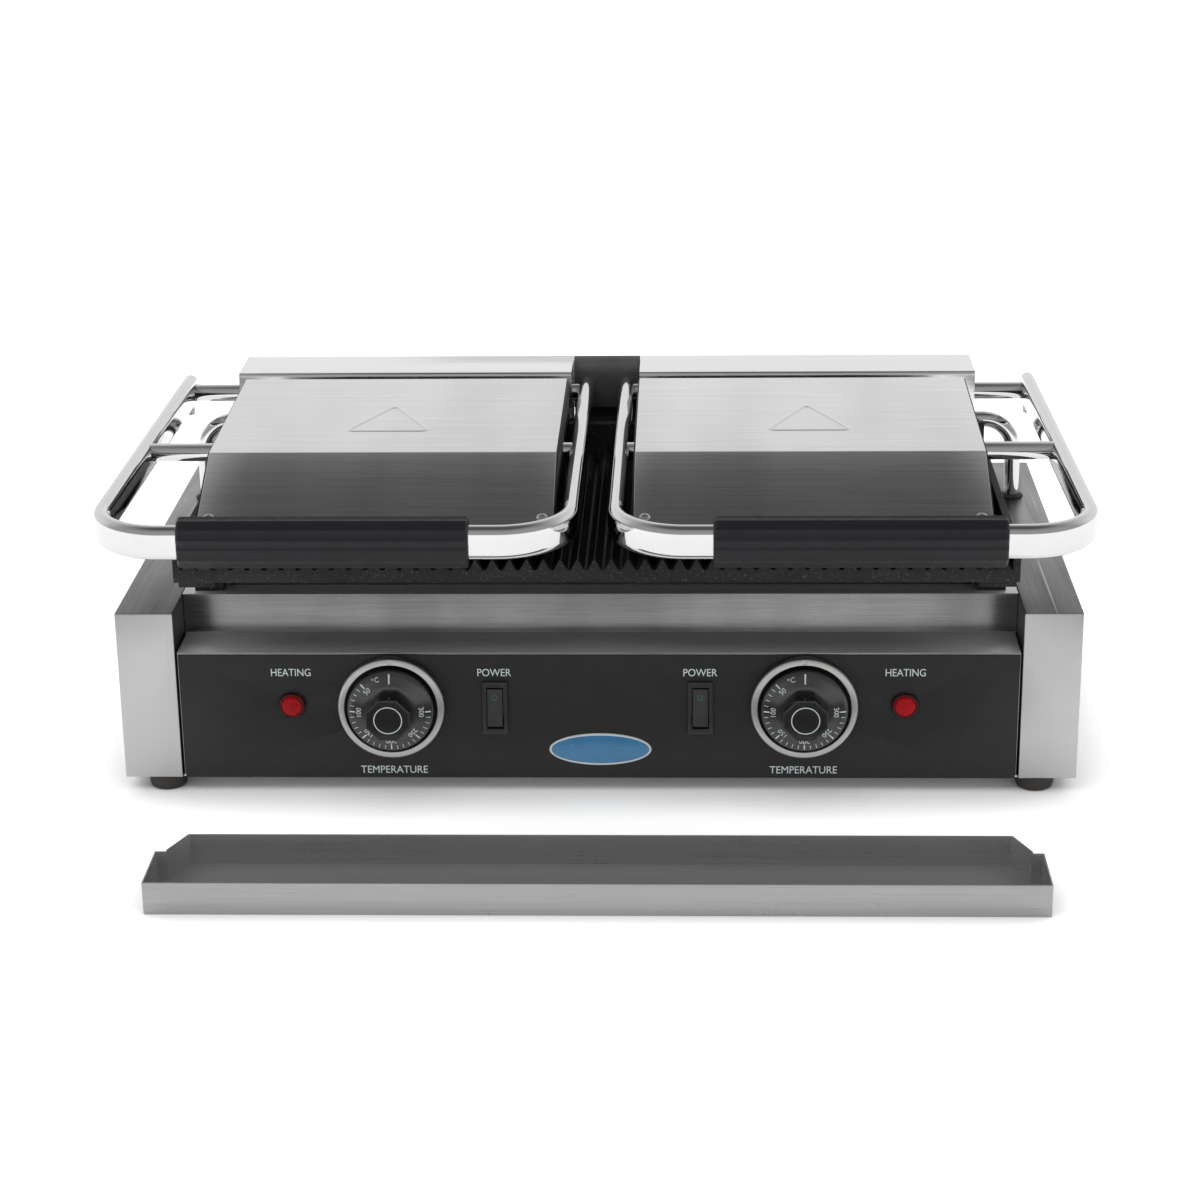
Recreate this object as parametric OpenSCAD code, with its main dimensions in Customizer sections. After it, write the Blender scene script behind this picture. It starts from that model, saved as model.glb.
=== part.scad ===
// Double contact grill (panini press): one ribbed lower plate, two lids on U-shaped handles, millimetres.
// +X is the right-hand side, -Y the operator's side, +Z up. Z = 0 is the table.
// Modules are drawn from the front face of the base (Y = 0) and centred by set_frame().

/* [Base] */
// Width over the two side housings
base_w = 570; // [560:1:600]
// Depth of the base, front to back
base_d = 300; // [295:1:320]
// Height of the deck and of the side housings above the table
deck_z = 114; // [112:1:118]
// Height of the rubber feet
foot_h = 9; // [8:1:12]
// Width of one side housing
tower_w = 34.5; // [32:0.5:36]
// Depth of the recess in front, where fat runs off the plate
recess_d = 35; // [33:1:37]
// Height of the shelf at the bottom of the recess
shelf_z = 89.5; // [86:0.5:92]
// Thickness of the steel sheet
sheet = 1.5; // [1.2:0.1:1.8]

/* [Cooking plates] */
// Distance between two neighbouring ribs
rib_pitch = 9.8; // [9.4:0.1:10]
// Height of a rib
rib_h = 6.4; // [5:0.1:6.6]
// Height of the lower plate's rib tips above the table
lower_tip_z = 154.6; // [153:0.1:156]
// Gap between the rib tips of the closed plates
plate_gap = 4.6; // [4.4:0.1:5]

/* [Lids] */
// Width of one lid cover
lid_w = 204; // [200:1:206]
// Distance between the centre plane and a lid cover
lid_inner_x = 23; // [22.5:0.1:24]

/* [Handles] */
// Height of the hinge axle above the table
axle_z = 184; // [183:0.5:185]
// Distance of the hinge axle behind the front face
axle_y = 232; // [230:0.5:234]
// Diameter of the hinge axle and of the rod that carries the lid
rod_d = 11; // [10:0.5:11]
// Height of the flat oval handle tube
tube_h = 20; // [18:1:20]
// Thickness of the flat oval handle tube
tube_t = 10; // [8:0.5:10]
// Radius of the handle's bends at the tube's centre line
bend_r = 40; // [35:1:44]
// Length of the plastic grip
grip_len = 163; // [140:1:170]

/* [Controls] */
// Distance of the thermostat knobs from the centre plane
knob_x = 122.5; // [110:0.5:130]
// Height of the knobs above the table
knob_z = 56; // [52:1:58]
// Distance of the pilot lamps from the centre plane
lamp_x = 182; // [170:1:200]
// Distance of the rocker switches from the centre plane
switch_x = 61; // [50:1:70]

/* [Drip tray] */
// Width of the drip tray
tray_w = 495; // [480:1:498]
// Depth of the drip tray
tray_d = 64; // [50:1:70]
// Height of the drip tray
tray_h = 19; // [15:1:25]

/* [Hidden] */
$fn = 64;
eps = 0.01;

// Colours
steel = [0.74, 0.74, 0.73];
chrome = [0.86, 0.87, 0.88];
black = [0.08, 0.08, 0.09];
iron = [0.13, 0.11, 0.10];
rubber = [0.06, 0.05, 0.05];
brass = [0.72, 0.58, 0.30];
zinc = [0.62, 0.63, 0.64];
lamp_red = [0.75, 0.05, 0.05];
ceramic = [0.85, 0.84, 0.78];

// Base
half_w = base_w / 2;
inner_w = base_w - 2 * tower_w;        // clear width between the side housings
body_w = inner_w - 0.2;                // width of the parts that stand between them
panel_t = 1.5;                         // thickness of the black control panel
front_wall_y = 0.3 + panel_t;          // front of the steel wall behind the panel
wall_gap = 0.1;
front_gap = 1.1;                       // extra gap to the side housings in front
lip_w = 0.7;                           // steel edge beside the control panel
foot_x = 261.5;
foot_y = [12, base_d - 12];
foot_r = 12;
screw_hole_r = 2.6;                    // hole for a foot's screw
rear_screw_x = 238;
rear_screw_z = [22, 102];
slot_pitch = 30;                       // cooling slots in the bottom
slot_rows = [70, 150, 230];
slot_size = [6, 36];
vent_pitch = 14;                       // cooling slots in the rear panel
vent_size = [5, 28];
vent_z = 70;
wire_hole_r = 8;
wire_holes = [[120, 180], [200, 232]]; // passages under the heater pan and under the hinge covers
wire_opening_y = [150, 230];           // opening between a side housing and the main housing
wire_opening_z = [40, 90];

// Holes in the control panel
lamp_hole_r = 6.2;
shaft_hole_r = 7;
switch_hole = [12.8, 28.8];

// Drip tray, laid on the table in front of the base
tray_x = 3.5;
tray_y = -166.5;
tray_t = 1;
tray_side_d = 41;                      // length of the straight side walls
tray_step = 6;
tray_corner = 15;

// The set's footprint runs from the tray's front to the cable gland's rear end
gland_out = 14;
frame_y = -(tray_y + base_d + gland_out) / 2;

// Lower plate
plate_half_w = 244.5;
plate_y0 = -20;
plate_y1 = 208;
plate_bottom_z = 140.4;
rim_z = 160;
rear_rim_z = 171;
rim_w = 7;
lower_ribs = 49;
lug_x = 222;                           // inner side of the lugs under the plate's sides
lug_z = 134;

// Hinge covers
cover_y0 = 211;
cover_y1 = 253.4;
cover_top_z = 202.6;
cover_x0 = 22.1;
cover_x1 = 238.4;
cover_front_y = 244;                   // front of the black cover between them

// Lids
lid_x0 = lid_inner_x;
lid_x1 = lid_inner_x + lid_w;
lid_rear = [172.5, 210];
lid_fold = [25, 205.7];
lid_nose = [-31.5, 178.8];
cover_t = 1.2;
upper_tip_z = lower_tip_z + plate_gap;
slab_z = upper_tip_z + rib_h + 6;      // top of the upper plate's slab
lid_rod_y = 92;
lid_rod_z = 185.5;
upper_x0 = lid_x0 - 1;
upper_x1 = lid_x1 + 1;
upper_y0 = -21;
upper_y1 = 170;
wall_t = 5;

// Handles
arm_in_x = 13;
arm_out_x = 276;
handle_front_y = -66;
arm_drop = 0.62;                       // slope of the arms towards the front, degrees
arm_splay = 1.15;                      // the outer arm leans outwards to the front, degrees
arm_tail = 6;                          // the outer arm's end behind the axle
tube_wall = 1.2;
grip_x0 = 68;
run_clear = 0.05;                      // radial clearance of a running fit

// Conduits
conduit_x = 266;
conduit_y = 226;
conduit_z = 166.5;
conduit_r = 5;
conduit_bend = 20;

module set_frame() translate([0, frame_y, 0]) children();
module left() mirror([1, 0, 0]) children();
module both() {
    children();
    mirror([1, 0, 0]) children();
}

// ---------- general shapes ----------

// Flat oval outline: w wide along X, h high along Y
module flat_oval(w, h) {
    square([w, h - w], center = true);
    for (s = [-1, 1]) translate([0, s * (h - w) / 2]) circle(d = w);
}

// Cylinder along +Y from y0 to y1
module rod_y(r, y0, y1) translate([0, y0, 0]) rotate([-90, 0, 0]) cylinder(r = r, h = y1 - y0);

// Cylinder along +X from x0 to x1
module rod_x(r, x0, x1) translate([x0, 0, 0]) rotate([0, 90, 0]) cylinder(r = r, h = x1 - x0);

// Block given by its lowest and highest corners
module block(a, b) translate(a) cube(b - a);

// Outline in the YZ plane, extruded along +X from x0 to x1
module along_x(x0, x1) translate([x0, 0, 0]) rotate([90, 0, 90]) linear_extrude(x1 - x0) children();

// Pan-head screw: the head's dome points up from Z = 0, the shank down
module pan_screw(head_r, shank_r, shank_l) {
    slot = [head_r * 0.6, 0.35, head_r * 0.22];
    difference() {
        intersection() {
            translate([0, 0, -head_r * 1.1]) sphere(r = head_r * 1.5, $fn = 48);
            cylinder(r = head_r, h = head_r);
        }
        for (a = [0, 90]) rotate(a) block([-slot[0], -slot[1], slot[2]], [slot[0], slot[1], head_r]);
    }
    translate([0, 0, -shank_l]) cylinder(r = shank_r, h = shank_l + eps, $fn = 24);
}

// Serpentine tubular heater with its legs along Y, centred on X = 0
heater_r = 4;
heater_tail = 14;                      // how far the two ends reach past the bends
module serpentine(legs, pitch, y0, y1) {
    for (i = [0 : legs - 1]) {
        x = (i - (legs - 1) / 2) * pitch;
        last = i == legs - 1;
        translate([x, 0, 0]) rod_y(heater_r, y0, y1 + (i == 0 || last ? heater_tail : 0));
        if (!last) {
            at_rear = i % 2 == 1;
            translate([x + pitch / 2, at_rear ? y1 : y0, 0]) rotate([0, 0, at_rear ? 0 : 180])
                rotate_extrude(angle = 180) translate([pitch / 2, 0]) circle(r = heater_r);
        }
    }
}

// Round wire of radius wr wound round the X axis; its two ends run straight down and up
function wire_ring(c, out, wr, sides) = [for (k = [0 : sides - 1]) let (a = 360 * k / sides)
    c + wr * (cos(a) * out + sin(a) * [1, 0, 0])];
module torsion_coil(x0, x1, r, wr, turns, leg_down, leg_up) {
    per_turn = 16;
    sides = 6;
    n = turns * per_turn;
    side = [0, 1, 0];
    rings = concat(
        [wire_ring([x0, r, -leg_down], side, wr, sides)],
        [for (i = [0 : n]) let (a = 360 * i / per_turn, out = [0, cos(a), sin(a)])
            wire_ring([x0 + (x1 - x0) * i / n, 0, 0] + r * out, out, wr, sides)],
        [wire_ring([x1, r, leg_up], side, wr, sides)]
    );
    last = len(rings) - 1;
    polyhedron(
        points = [for (ring = rings) for (p = ring) p],
        faces = concat(
            [[for (k = [0 : sides - 1]) k]],
            [for (i = [0 : last - 1]) for (k = [0 : sides - 1]) let (m = (k + 1) % sides)
                each [[i * sides + k, (i + 1) * sides + m, i * sides + m],
                      [i * sides + k, (i + 1) * sides + k, (i + 1) * sides + m]]],
            [[for (k = [sides - 1 : -1 : 0]) last * sides + k]]
        )
    );
}

// ---------- base ----------

// Bent sheet: front wall, shelf, recess wall and deck, with the controls' holes
module base_shell() set_frame() color(steel) {
    z0 = foot_h + sheet + wall_gap;
    y0 = front_wall_y;
    y1 = base_d - sheet - wall_gap;
    front_hw = body_w / 2 - front_gap; // half width of the front wall and the shelf
    lip_z = deck_z - 10;               // lower edge of the deck's folded rear lip
    difference() {
        along_x(-body_w / 2, body_w / 2)
            polygon([[y0, z0], [y0, shelf_z], [recess_d, shelf_z], [recess_d, deck_z],
                [y1, deck_z], [y1, lip_z], [base_d - 2 * sheet, lip_z], [base_d - 2 * sheet, deck_z - sheet],
                [recess_d + sheet, deck_z - sheet], [recess_d + sheet, shelf_z - sheet],
                [y0 + sheet, shelf_z - sheet], [y0 + sheet, z0]]);
        both() control_holes();
        both() for (p = wire_holes) wire_hole(p);
        both() block([front_hw, -1, 0], [half_w, recess_d - 1, shelf_z + 1]);
    }
    // lips that frame the panel's upper edge and its sides
    block([-front_hw, 0.3, shelf_z - sheet], [front_hw, y0 + 0.5, shelf_z]);
    both() block([front_hw - lip_w, 0.3, z0], [front_hw, y0 + 0.5, shelf_z - eps]);
}

module wire_hole(p) translate([p[0], p[1], deck_z - 5]) cylinder(r = wire_hole_r, h = 10);

// Holes for one side's lamp, knob shaft and switch
module control_holes() {
    translate([lamp_x, 0, knob_z]) rod_y(lamp_hole_r, -5, 10);
    translate([knob_x, 0, knob_z]) rod_y(shaft_hole_r, -5, 10);
    translate([switch_x, 0, switch_z])
        block([-switch_hole[0] / 2, -5, -switch_hole[1] / 2],
            [switch_hole[0] / 2, 10, switch_hole[1] / 2]);
}

// Hollow steel box at the right-hand end of the base
module side_housing() {
    z0 = foot_h;
    difference() {
        block([half_w - tower_w, 0, z0], [half_w, base_d, deck_z]);
        block([half_w - tower_w + sheet, sheet, z0 + sheet],
            [half_w - sheet, base_d - sheet, deck_z - sheet]);
        translate([conduit_x, conduit_y, deck_z - 5]) cylinder(r = conduit_r + 1.5, h = 10);
        block([half_w - tower_w - 1, wire_opening_y[0], wire_opening_z[0]],
            [half_w - tower_w + sheet + 1, wire_opening_y[1], wire_opening_z[1]]);
        for (y = foot_y) translate([foot_x, y, z0 - 1]) cylinder(r = screw_hole_r, h = sheet + 2, $fn = 24);
    }
}
module left_side_housing() set_frame() color(steel) left() side_housing();
module right_side_housing() set_frame() color(steel) side_housing();

module bottom_cover() set_frame() color(zinc) difference() {
    block([-body_w / 2, 2, foot_h], [body_w / 2, base_d - 2, foot_h + sheet]);
    for (i = [-6 : 6]) for (y = slot_rows) translate([i * slot_pitch, y, foot_h - 1])
        block([-slot_size[0] / 2, -slot_size[1] / 2, 0], [slot_size[0] / 2, slot_size[1] / 2, sheet + 2]);
}

module rear_panel() set_frame() color(steel) difference() {
    block([-body_w / 2, base_d - sheet, foot_h + sheet + wall_gap], [body_w / 2, base_d, deck_z]);
    for (i = [-7 : 7]) translate([i * vent_pitch, base_d - sheet - 1, vent_z])
        block([-vent_size[0] / 2, 0, -vent_size[1] / 2], [vent_size[0] / 2, 4, vent_size[1] / 2]);
    translate([gland_x, 0, gland_z]) rod_y(gland_r, base_d - 5, base_d + 5);
    both() for (z = rear_screw_z) translate([rear_screw_x, 0, z]) rod_y(2.1, base_d - 5, base_d + 5);
}

module control_panel() set_frame() color(black) difference() {
    hw = body_w / 2 - front_gap - lip_w - 0.1;
    block([-hw, 0.3, foot_h], [hw, front_wall_y, shelf_z - sheet]);
    both() control_holes();
}

module feet() set_frame() color(rubber) both() for (y = foot_y) translate([foot_x, y, 0])
    rotate_extrude() difference() {
        polygon([[0, 0], [foot_r - 2.6, 0], [foot_r - 1.2, 1], [foot_r - 0.6, 3], [foot_r, foot_h],
            [0, foot_h]]);
        // counterbore and hole for the screw
        polygon([[0, -1], [5, -1], [5, 4], [screw_hole_r, 4], [screw_hole_r, foot_h + 1], [0, foot_h + 1]]);
    }

// Foot screws from below, rear panel screws from behind
module base_screws() set_frame() color(zinc) {
    both() for (y = foot_y) translate([foot_x, y, 4]) rotate([180, 0, 0])
        pan_screw(4.4, 2.5, foot_h + sheet + 3);
    both() for (z = rear_screw_z) translate([rear_screw_x, base_d, z]) rotate([-90, 0, 0])
        pan_screw(3.8, 2, 8);
}

// Outline of n ribs from X = 0, in the XZ plane, tips up at z = rib height
rib_tip = 0.10;                        // width of a rib's flat tip as a part of the pitch
rib_root = 0.80;                       // width of a rib's root as a part of the pitch
function rib_points(n) = [for (i = [0 : n - 1]) let (x = (i + 0.5) * rib_pitch) each [
    [x - rib_root / 2 * rib_pitch, 0], [x - rib_tip / 2 * rib_pitch, rib_h],
    [x + rib_tip / 2 * rib_pitch, rib_h], [x + rib_root / 2 * rib_pitch, 0]]];

module lower_plate() set_frame() color(iron) {
    ribs_w = lower_ribs * rib_pitch;
    valley_z = lower_tip_z - rib_h;
    cast_foot_y = [40, 186];
    cast_foot_d = 18;
    // slab and ribs, running front to back and open at the front
    translate([-ribs_w / 2, plate_y1 - rim_w, valley_z]) rotate([90, 0, 0])
        linear_extrude(plate_y1 - rim_w - plate_y0)
            polygon(concat([[0, 0]], rib_points(lower_ribs), [[ribs_w, 0],
                [ribs_w, plate_bottom_z - valley_z], [0, plate_bottom_z - valley_z]]));
    // side rims, lower at the front, and rear rim
    both() along_x(ribs_w / 2, plate_half_w) polygon([[plate_y0, plate_bottom_z], [plate_y0, lower_tip_z],
        [plate_y0 + 30, rim_z], [plate_y1 - rim_w, rim_z], [plate_y1 - rim_w, plate_bottom_z]]);
    block([-plate_half_w, plate_y1 - rim_w, plate_bottom_z], [plate_half_w, plate_y1, rear_rim_z]);
    // side lugs, and cast feet that stand on the deck
    both() block([lug_x, -10, lug_z], [plate_half_w - 1, cast_foot_y[0] + 8, plate_bottom_z]);
    both() for (y = cast_foot_y) block([226, y, deck_z], [plate_half_w - 1, y + cast_foot_d, plate_bottom_z]);
}

module lower_heaters() set_frame() color(zinc) both()
    translate([118, 0, plate_bottom_z - heater_r - 0.2]) serpentine(6, 34, 82, 168);

// Sheet steel pan that holds the lower heaters under the plate
pan_hw = 224;
pan_y = [51, 192];
pan_t = 1;
module heater_pan() set_frame() color(steel) difference() {
    block([-pan_hw, pan_y[0], deck_z], [pan_hw, pan_y[1], plate_bottom_z]);
    block([-pan_hw + pan_t, pan_y[0] + pan_t, deck_z + pan_t],
        [pan_hw - pan_t, pan_y[1] - pan_t, plate_bottom_z + 1]);
    both() wire_hole(wire_holes[0]);
}

// ---------- hinge ----------

bracket_x = [32, 224];                 // the inner and the outer bracket of a hinge
bracket_t = 4;
bracket_r = 13;
bracket_foot = 20;                     // length of the foot bent towards the middle of the cover
bush_r = 8;
bush_flange = 1.5;

module hinge_brackets() set_frame() color(zinc) both() for (i = [0, 1]) {
    x = bracket_x[i];
    foot = i == 0 ? [x, x + bracket_t + bracket_foot] : [x - bracket_foot, x + bracket_t];
    difference() {
        union() {
            block([x, axle_y - bracket_r, deck_z], [x + bracket_t, axle_y + bracket_r, axle_z]);
            translate([0, axle_y, axle_z]) rod_x(bracket_r, x, x + bracket_t);
            block([foot[0], axle_y - bracket_r, deck_z], [foot[1], axle_y + bracket_r, deck_z + bracket_t]);
        }
        translate([0, axle_y, axle_z]) rod_x(bush_r, x - 1, x + bracket_t + 1);
    }
}

module hinge_bushes() set_frame() color(brass) both() for (x = bracket_x) translate([0, axle_y, axle_z])
    difference() {
        union() {
            rod_x(bush_r, x, x + bracket_t);
            rod_x(bush_r + 2.5, x - bush_flange, x);
        }
        rod_x(rod_d / 2 + run_clear, x - bush_flange - 1, x + bracket_t + 1);
    }

// Steel box over one lid's hinge, open below
module hinge_cover() difference() {
    block([cover_x0, cover_y0, deck_z], [cover_x1, cover_y1, cover_top_z]);
    block([cover_x0 + sheet, cover_y0 + sheet, deck_z - 1],
        [cover_x1 - sheet, cover_y1 - sheet, cover_top_z - sheet]);
    translate([0, axle_y, axle_z]) rod_x(rod_d / 2 + 0.6, cover_x0 - 1, cover_x1 + 1);
    translate([0, conduit_y, conduit_z]) rod_x(conduit_r, cover_x1 - 3, cover_x1 + 1);
    // rounded front edge
    r = 2.5;
    translate([cover_x0 - 1, cover_y0, cover_top_z]) along_x(0, cover_x1 - cover_x0 + 2) difference() {
        translate([-1, -r]) square([r + 1, r + 1]);
        translate([r, -r]) circle(r = r);
    }
}
module left_hinge_cover() set_frame() color(steel) left() hinge_cover();
module right_hinge_cover() set_frame() color(steel) hinge_cover();

// Black cover between the two hinge covers, behind the ends of the handles' inner arms:
// rear wall, rounded top and a front that hangs down behind the axles
cover_bottom_z = 170;
module centre_cover() set_frame() color(black) {
    hw = cover_x0 - 0.3;
    r = cover_y1 - cover_front_y;
    top_z = cover_top_z - r;
    along_x(-hw, hw) {
        translate([cover_y1 - sheet, deck_z]) square([sheet, top_z - deck_z]);
        translate([cover_front_y, cover_bottom_z]) square([sheet, top_z - cover_bottom_z]);
        translate([cover_y1, top_z]) intersection() {
            difference() {
                circle(r = r);
                circle(r = r - sheet);
            }
            translate([-r - 1, 0]) square([r + 1, r + 1]);
        }
        translate([cover_y1 - sheet, top_z - eps]) square([sheet, r + eps]);
    }
}

// Torsion spring round the axle; one leg stands on the bracket's foot, the other presses on the cover
spring_x = [44, 92];
spring_r = 10.4;
wire_r = 1.5;
spring_turns = 9;
module torsion_spring() translate([0, axle_y, axle_z])
    torsion_coil(spring_x[0], spring_x[1], spring_r, wire_r, spring_turns,
        axle_z - deck_z - bracket_t, cover_top_z - sheet - axle_z);
module left_spring() set_frame() color(zinc) left() torsion_spring();
module right_spring() set_frame() color(zinc) torsion_spring();

// Bent tube that carries the wires from the side housing to the hinge
module conduit() {
    corner_x = conduit_x - conduit_bend;
    corner_z = conduit_z - conduit_bend;
    difference() {
        conduit_solid(conduit_r, corner_x, corner_z, 0);
        conduit_solid(conduit_r - 1, corner_x, corner_z, 1);
    }
}
module conduit_solid(r, corner_x, corner_z, extra) {
    translate([conduit_x, conduit_y, deck_z - 3 - extra]) cylinder(r = r, h = corner_z - deck_z + 3 + extra);
    translate([corner_x, conduit_y, corner_z]) rotate([90, 0, 0]) rotate_extrude(angle = 90)
        translate([conduit_bend, 0]) circle(r = r);
    translate([0, conduit_y, conduit_z]) rod_x(r, cover_x1 - 6 - extra, corner_x);
}
module left_conduit() set_frame() color(chrome) left() conduit();
module right_conduit() set_frame() color(chrome) conduit();

module conduit_grommets() set_frame() color(rubber) both() translate([conduit_x, conduit_y, deck_z])
    rotate_extrude() polygon([[conduit_r, -3], [conduit_r + 1.5, -3], [conduit_r + 1.5, 0],
        [conduit_r + 3, 0], [conduit_r + 2.7, 1], [conduit_r + 0.8, 2], [conduit_r, 2]]);

// ---------- controls ----------

module at_knob() translate([knob_x, 0, knob_z]) children();

module thermostat() at_knob() difference() {
    union() {
        rod_y(17, front_wall_y + sheet, 24);
        block([-13, 24, -20], [13, 38, 16]);
        block([-21, front_wall_y + sheet, -6], [21, front_wall_y + sheet + 2, 6]);
    }
    rod_y(shaft_r + run_clear, 0, shaft_y[1] + 1);
}
module left_thermostat() set_frame() color(zinc) left() thermostat();
module right_thermostat() set_frame() color(zinc) thermostat();

// Satin ring round the dial, with a pointer mark at its top
ring_r = 31.7;
ring_in = 27.4;
module bezel() at_knob() difference() {
    rotate([90, 0, 0]) rotate_extrude($fn = 96) polygon([[ring_in, -0.3], [ring_r, -0.3], [ring_r, 5],
        [ring_r - 0.7, 5.8], [ring_in + 0.5, 6.4], [ring_in, 6]]);
    // groove that marks the top
    translate([-0.5, -8, ring_in + 1]) cube([1, 2.2, 2.4]);
}
module left_bezel() set_frame() color(steel) left() bezel();
module right_bezel() set_frame() color(steel) bezel();

skirt_r = 25.6;
boss_af = 26;                          // width of the octagonal boss across its flats
boss_front = 24.5;
skirt_back = 6.6;
skirt_front = 9.5;
shaft_r = 3;
shaft_y = [-18, 20];
module knob() at_knob() difference() {
    union() {
        rotate([90, 0, 0]) rotate_extrude($fn = 96)
            polygon([[0, 1], [14, 1], [14, skirt_back], [skirt_r, skirt_back], [skirt_r, skirt_front - 0.8],
                [skirt_r - 0.8, skirt_front], [15, skirt_front + 2.5], [0, skirt_front + 2.5]]);
        rotate([90, 0, 0]) rotate([0, 0, 22.5])
            translate([0, 0, 1]) cylinder(r = boss_af / 2 / cos(22.5), h = boss_front - 1, $fn = 8);
    }
    rod_y(shaft_r, shaft_y[0], 0);
    translate([-0.6, -boss_front - 1, boss_af / 2 - 5]) cube([1.2, 1.6, 6]);
}
module left_knob() set_frame() color(black) left() knob();
module right_knob() set_frame() color(black) knob();

module knob_shaft() at_knob() rod_y(shaft_r, shaft_y[0], shaft_y[1]);
module left_knob_shaft() set_frame() color(zinc) left() knob_shaft();
module right_knob_shaft() set_frame() color(zinc) knob_shaft();

module lamp_bezels() set_frame() color(black) both() translate([lamp_x, 0, knob_z]) rotate([90, 0, 0])
    rotate_extrude() polygon([[5.5, -14], [6.2, -14], [6.2, -0.3], [8, -0.3], [8, 1], [7.2, 2], [6.4, 2],
        [6.4, 0], [5.5, 0]]);
module lamp_lenses() set_frame() color(lamp_red) both() translate([lamp_x, 0, knob_z]) rotate([90, 0, 0])
    rotate_extrude() polygon([[0, -12], [5.5, -12], [5.5, 0], [6.4, 0], [6.4, 2.2], [5.6, 3.2], [0, 3.8]]);

// Rocker switch: frame and body, then the rocker that tips in it
switch_z = knob_z - 1.5;
rocker_hw = 4.6;
rocker_r = 12.7;
rocker_pivot_y = 3;
rocker_tilt = 8;
module at_switch() translate([switch_x, 0, switch_z]) children();
module switch_frame() at_switch() difference() {
    union() {
        block([-7.5, -1.4, -16.5], [7.5, 0.3, 16.5]);
        block([-6.2, 0.2, -14.2], [6.2, 24, 14.2]);
    }
    block([-rocker_hw - 0.3, -3, -rocker_r - 0.35], [rocker_hw + 0.3, 20, rocker_r + 0.35]);
}
module left_switch_frame() set_frame() color(black) left() switch_frame();
module right_switch_frame() set_frame() color(black) switch_frame();

module rocker() at_switch() translate([0, rocker_pivot_y, 0]) rotate([-rocker_tilt, 0, 0])
    along_x(-rocker_hw, rocker_hw) intersection() {
        circle(r = rocker_r);
        polygon([[-3.6, 0], [-6, -rocker_r - 1], [5, -rocker_r - 1], [5, rocker_r + 1],
            [-6, rocker_r + 1]]);
    }
module left_rocker() set_frame() color(black) left() rocker();
module right_rocker() set_frame() color(black) rocker();

// Ceramic block with five pole holes and their screw holes
terminal_at = [150, 262, foot_h + sheet];
terminal_size = [52, 22, 20];
pole_pitch = 9.6;
module terminal_block() set_frame() color(ceramic) translate(terminal_at) difference() {
    translate([-terminal_size[0] / 2, -terminal_size[1] / 2, 0]) cube(terminal_size);
    for (i = [-2 : 2]) translate([i * pole_pitch, 0, 0]) {
        rod_y(2.2, -terminal_size[1], terminal_size[1]);
        translate([0, 0, 8]) cylinder(r = 2, h = terminal_size[2], $fn = 24);
    }
}

gland_x = 190;
gland_z = 34;
gland_r = 8;
gland_nut_r = 12;
gland_nut_h = 5;
cord_hole_r = 4.5;
module cable_gland() set_frame() color(black) translate([gland_x, 0, gland_z]) difference() {
    union() {
        rod_y(gland_r, base_d - gland_nut_r, base_d + 1);
        for (y = [base_d, base_d - 7]) translate([0, y, 0]) rotate([-90, 0, 0])
            cylinder(r = gland_nut_r, h = gland_nut_h, $fn = 6);
        translate([0, base_d, 0]) rotate([-90, 0, 0]) rotate_extrude() polygon([[0, gland_nut_h - 1],
            [gland_r + 1.5, gland_nut_h - 1], [gland_r + 1.5, gland_out - 4], [gland_r - 1, gland_out],
            [0, gland_out]]);
    }
    rod_y(cord_hole_r, base_d - gland_nut_r - 1, base_d + gland_out + 1);
}

// ---------- handles ----------

// Puts a piece drawn flat in the plane of the axle onto the sloping handle
module on_handle() translate([0, axle_y, axle_z]) rotate([arm_drop, 0, 0]) translate([0, -axle_y, 0])
    children();

// U-shaped flat oval tube of outline w by h; its arms end at in_end and out_end
module u_tube(w, h, in_end, out_end) {
    arm_front = handle_front_y + bend_r;
    bend_x = bend_centre_x();
    translate([arm_in_x, in_end, 0]) rotate([90, 0, 0]) linear_extrude(in_end - arm_front) flat_oval(w, h);
    translate([arm_in_x + bend_r, arm_front, 0]) rotate([0, 0, 180]) rotate_extrude(angle = 90)
        translate([bend_r, 0]) flat_oval(w, h);
    translate([bend_x, arm_front, 0]) rotate([0, 0, 270]) rotate_extrude(angle = 90 + arm_splay)
        translate([bend_r, 0]) flat_oval(w, h);
    // the splayed arm starts where the bend ends
    translate([bend_x, arm_front, 0]) rotate([0, 0, arm_splay]) translate([bend_r, out_end - arm_front, 0])
        rotate([90, 0, 0]) linear_extrude(out_end - arm_front) flat_oval(w, h);
    translate([arm_in_x + bend_r, handle_front_y, 0]) rotate([90, 0, 90])
        linear_extrude(bend_x - arm_in_x - bend_r) flat_oval(w, h);
}

// Centre of the outer bend, set so that the splayed arm crosses the axle at arm_out_x
function bend_centre_x() = arm_out_x
    - (bend_r - (axle_y - handle_front_y - bend_r) * sin(arm_splay)) / cos(arm_splay);

// Disc that closes an arm's end
module arm_end() rod_x(tube_h / 2, -tube_t / 2, tube_t / 2);

module handle_tube() on_handle() difference() {
    union() {
        u_tube(tube_t, tube_h, axle_y, axle_y + arm_tail);
        translate([arm_in_x, axle_y, 0]) arm_end();
        translate([bend_centre_x(), handle_front_y + bend_r, 0]) rotate([0, 0, arm_splay])
            translate([bend_r, axle_y + arm_tail - handle_front_y - bend_r, 0]) arm_end();
    }
    // the hollow ends before the axle's hole
    u_tube(tube_t - 2 * tube_wall, tube_h - 2 * tube_wall, axle_y - 16, axle_y - 16);
    for (x = [arm_in_x, arm_out_x]) {
        translate([0, axle_y, 0]) rod_x(rod_d / 2, x - tube_t, x + tube_t);
        translate([x, axle_y, -tube_h]) cylinder(r = bolt_r, h = tube_h, $fn = 24);
    }
}
module left_handle_tube() set_frame() color(chrome) left() handle_tube();
module right_handle_tube() set_frame() color(chrome) handle_tube();

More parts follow.
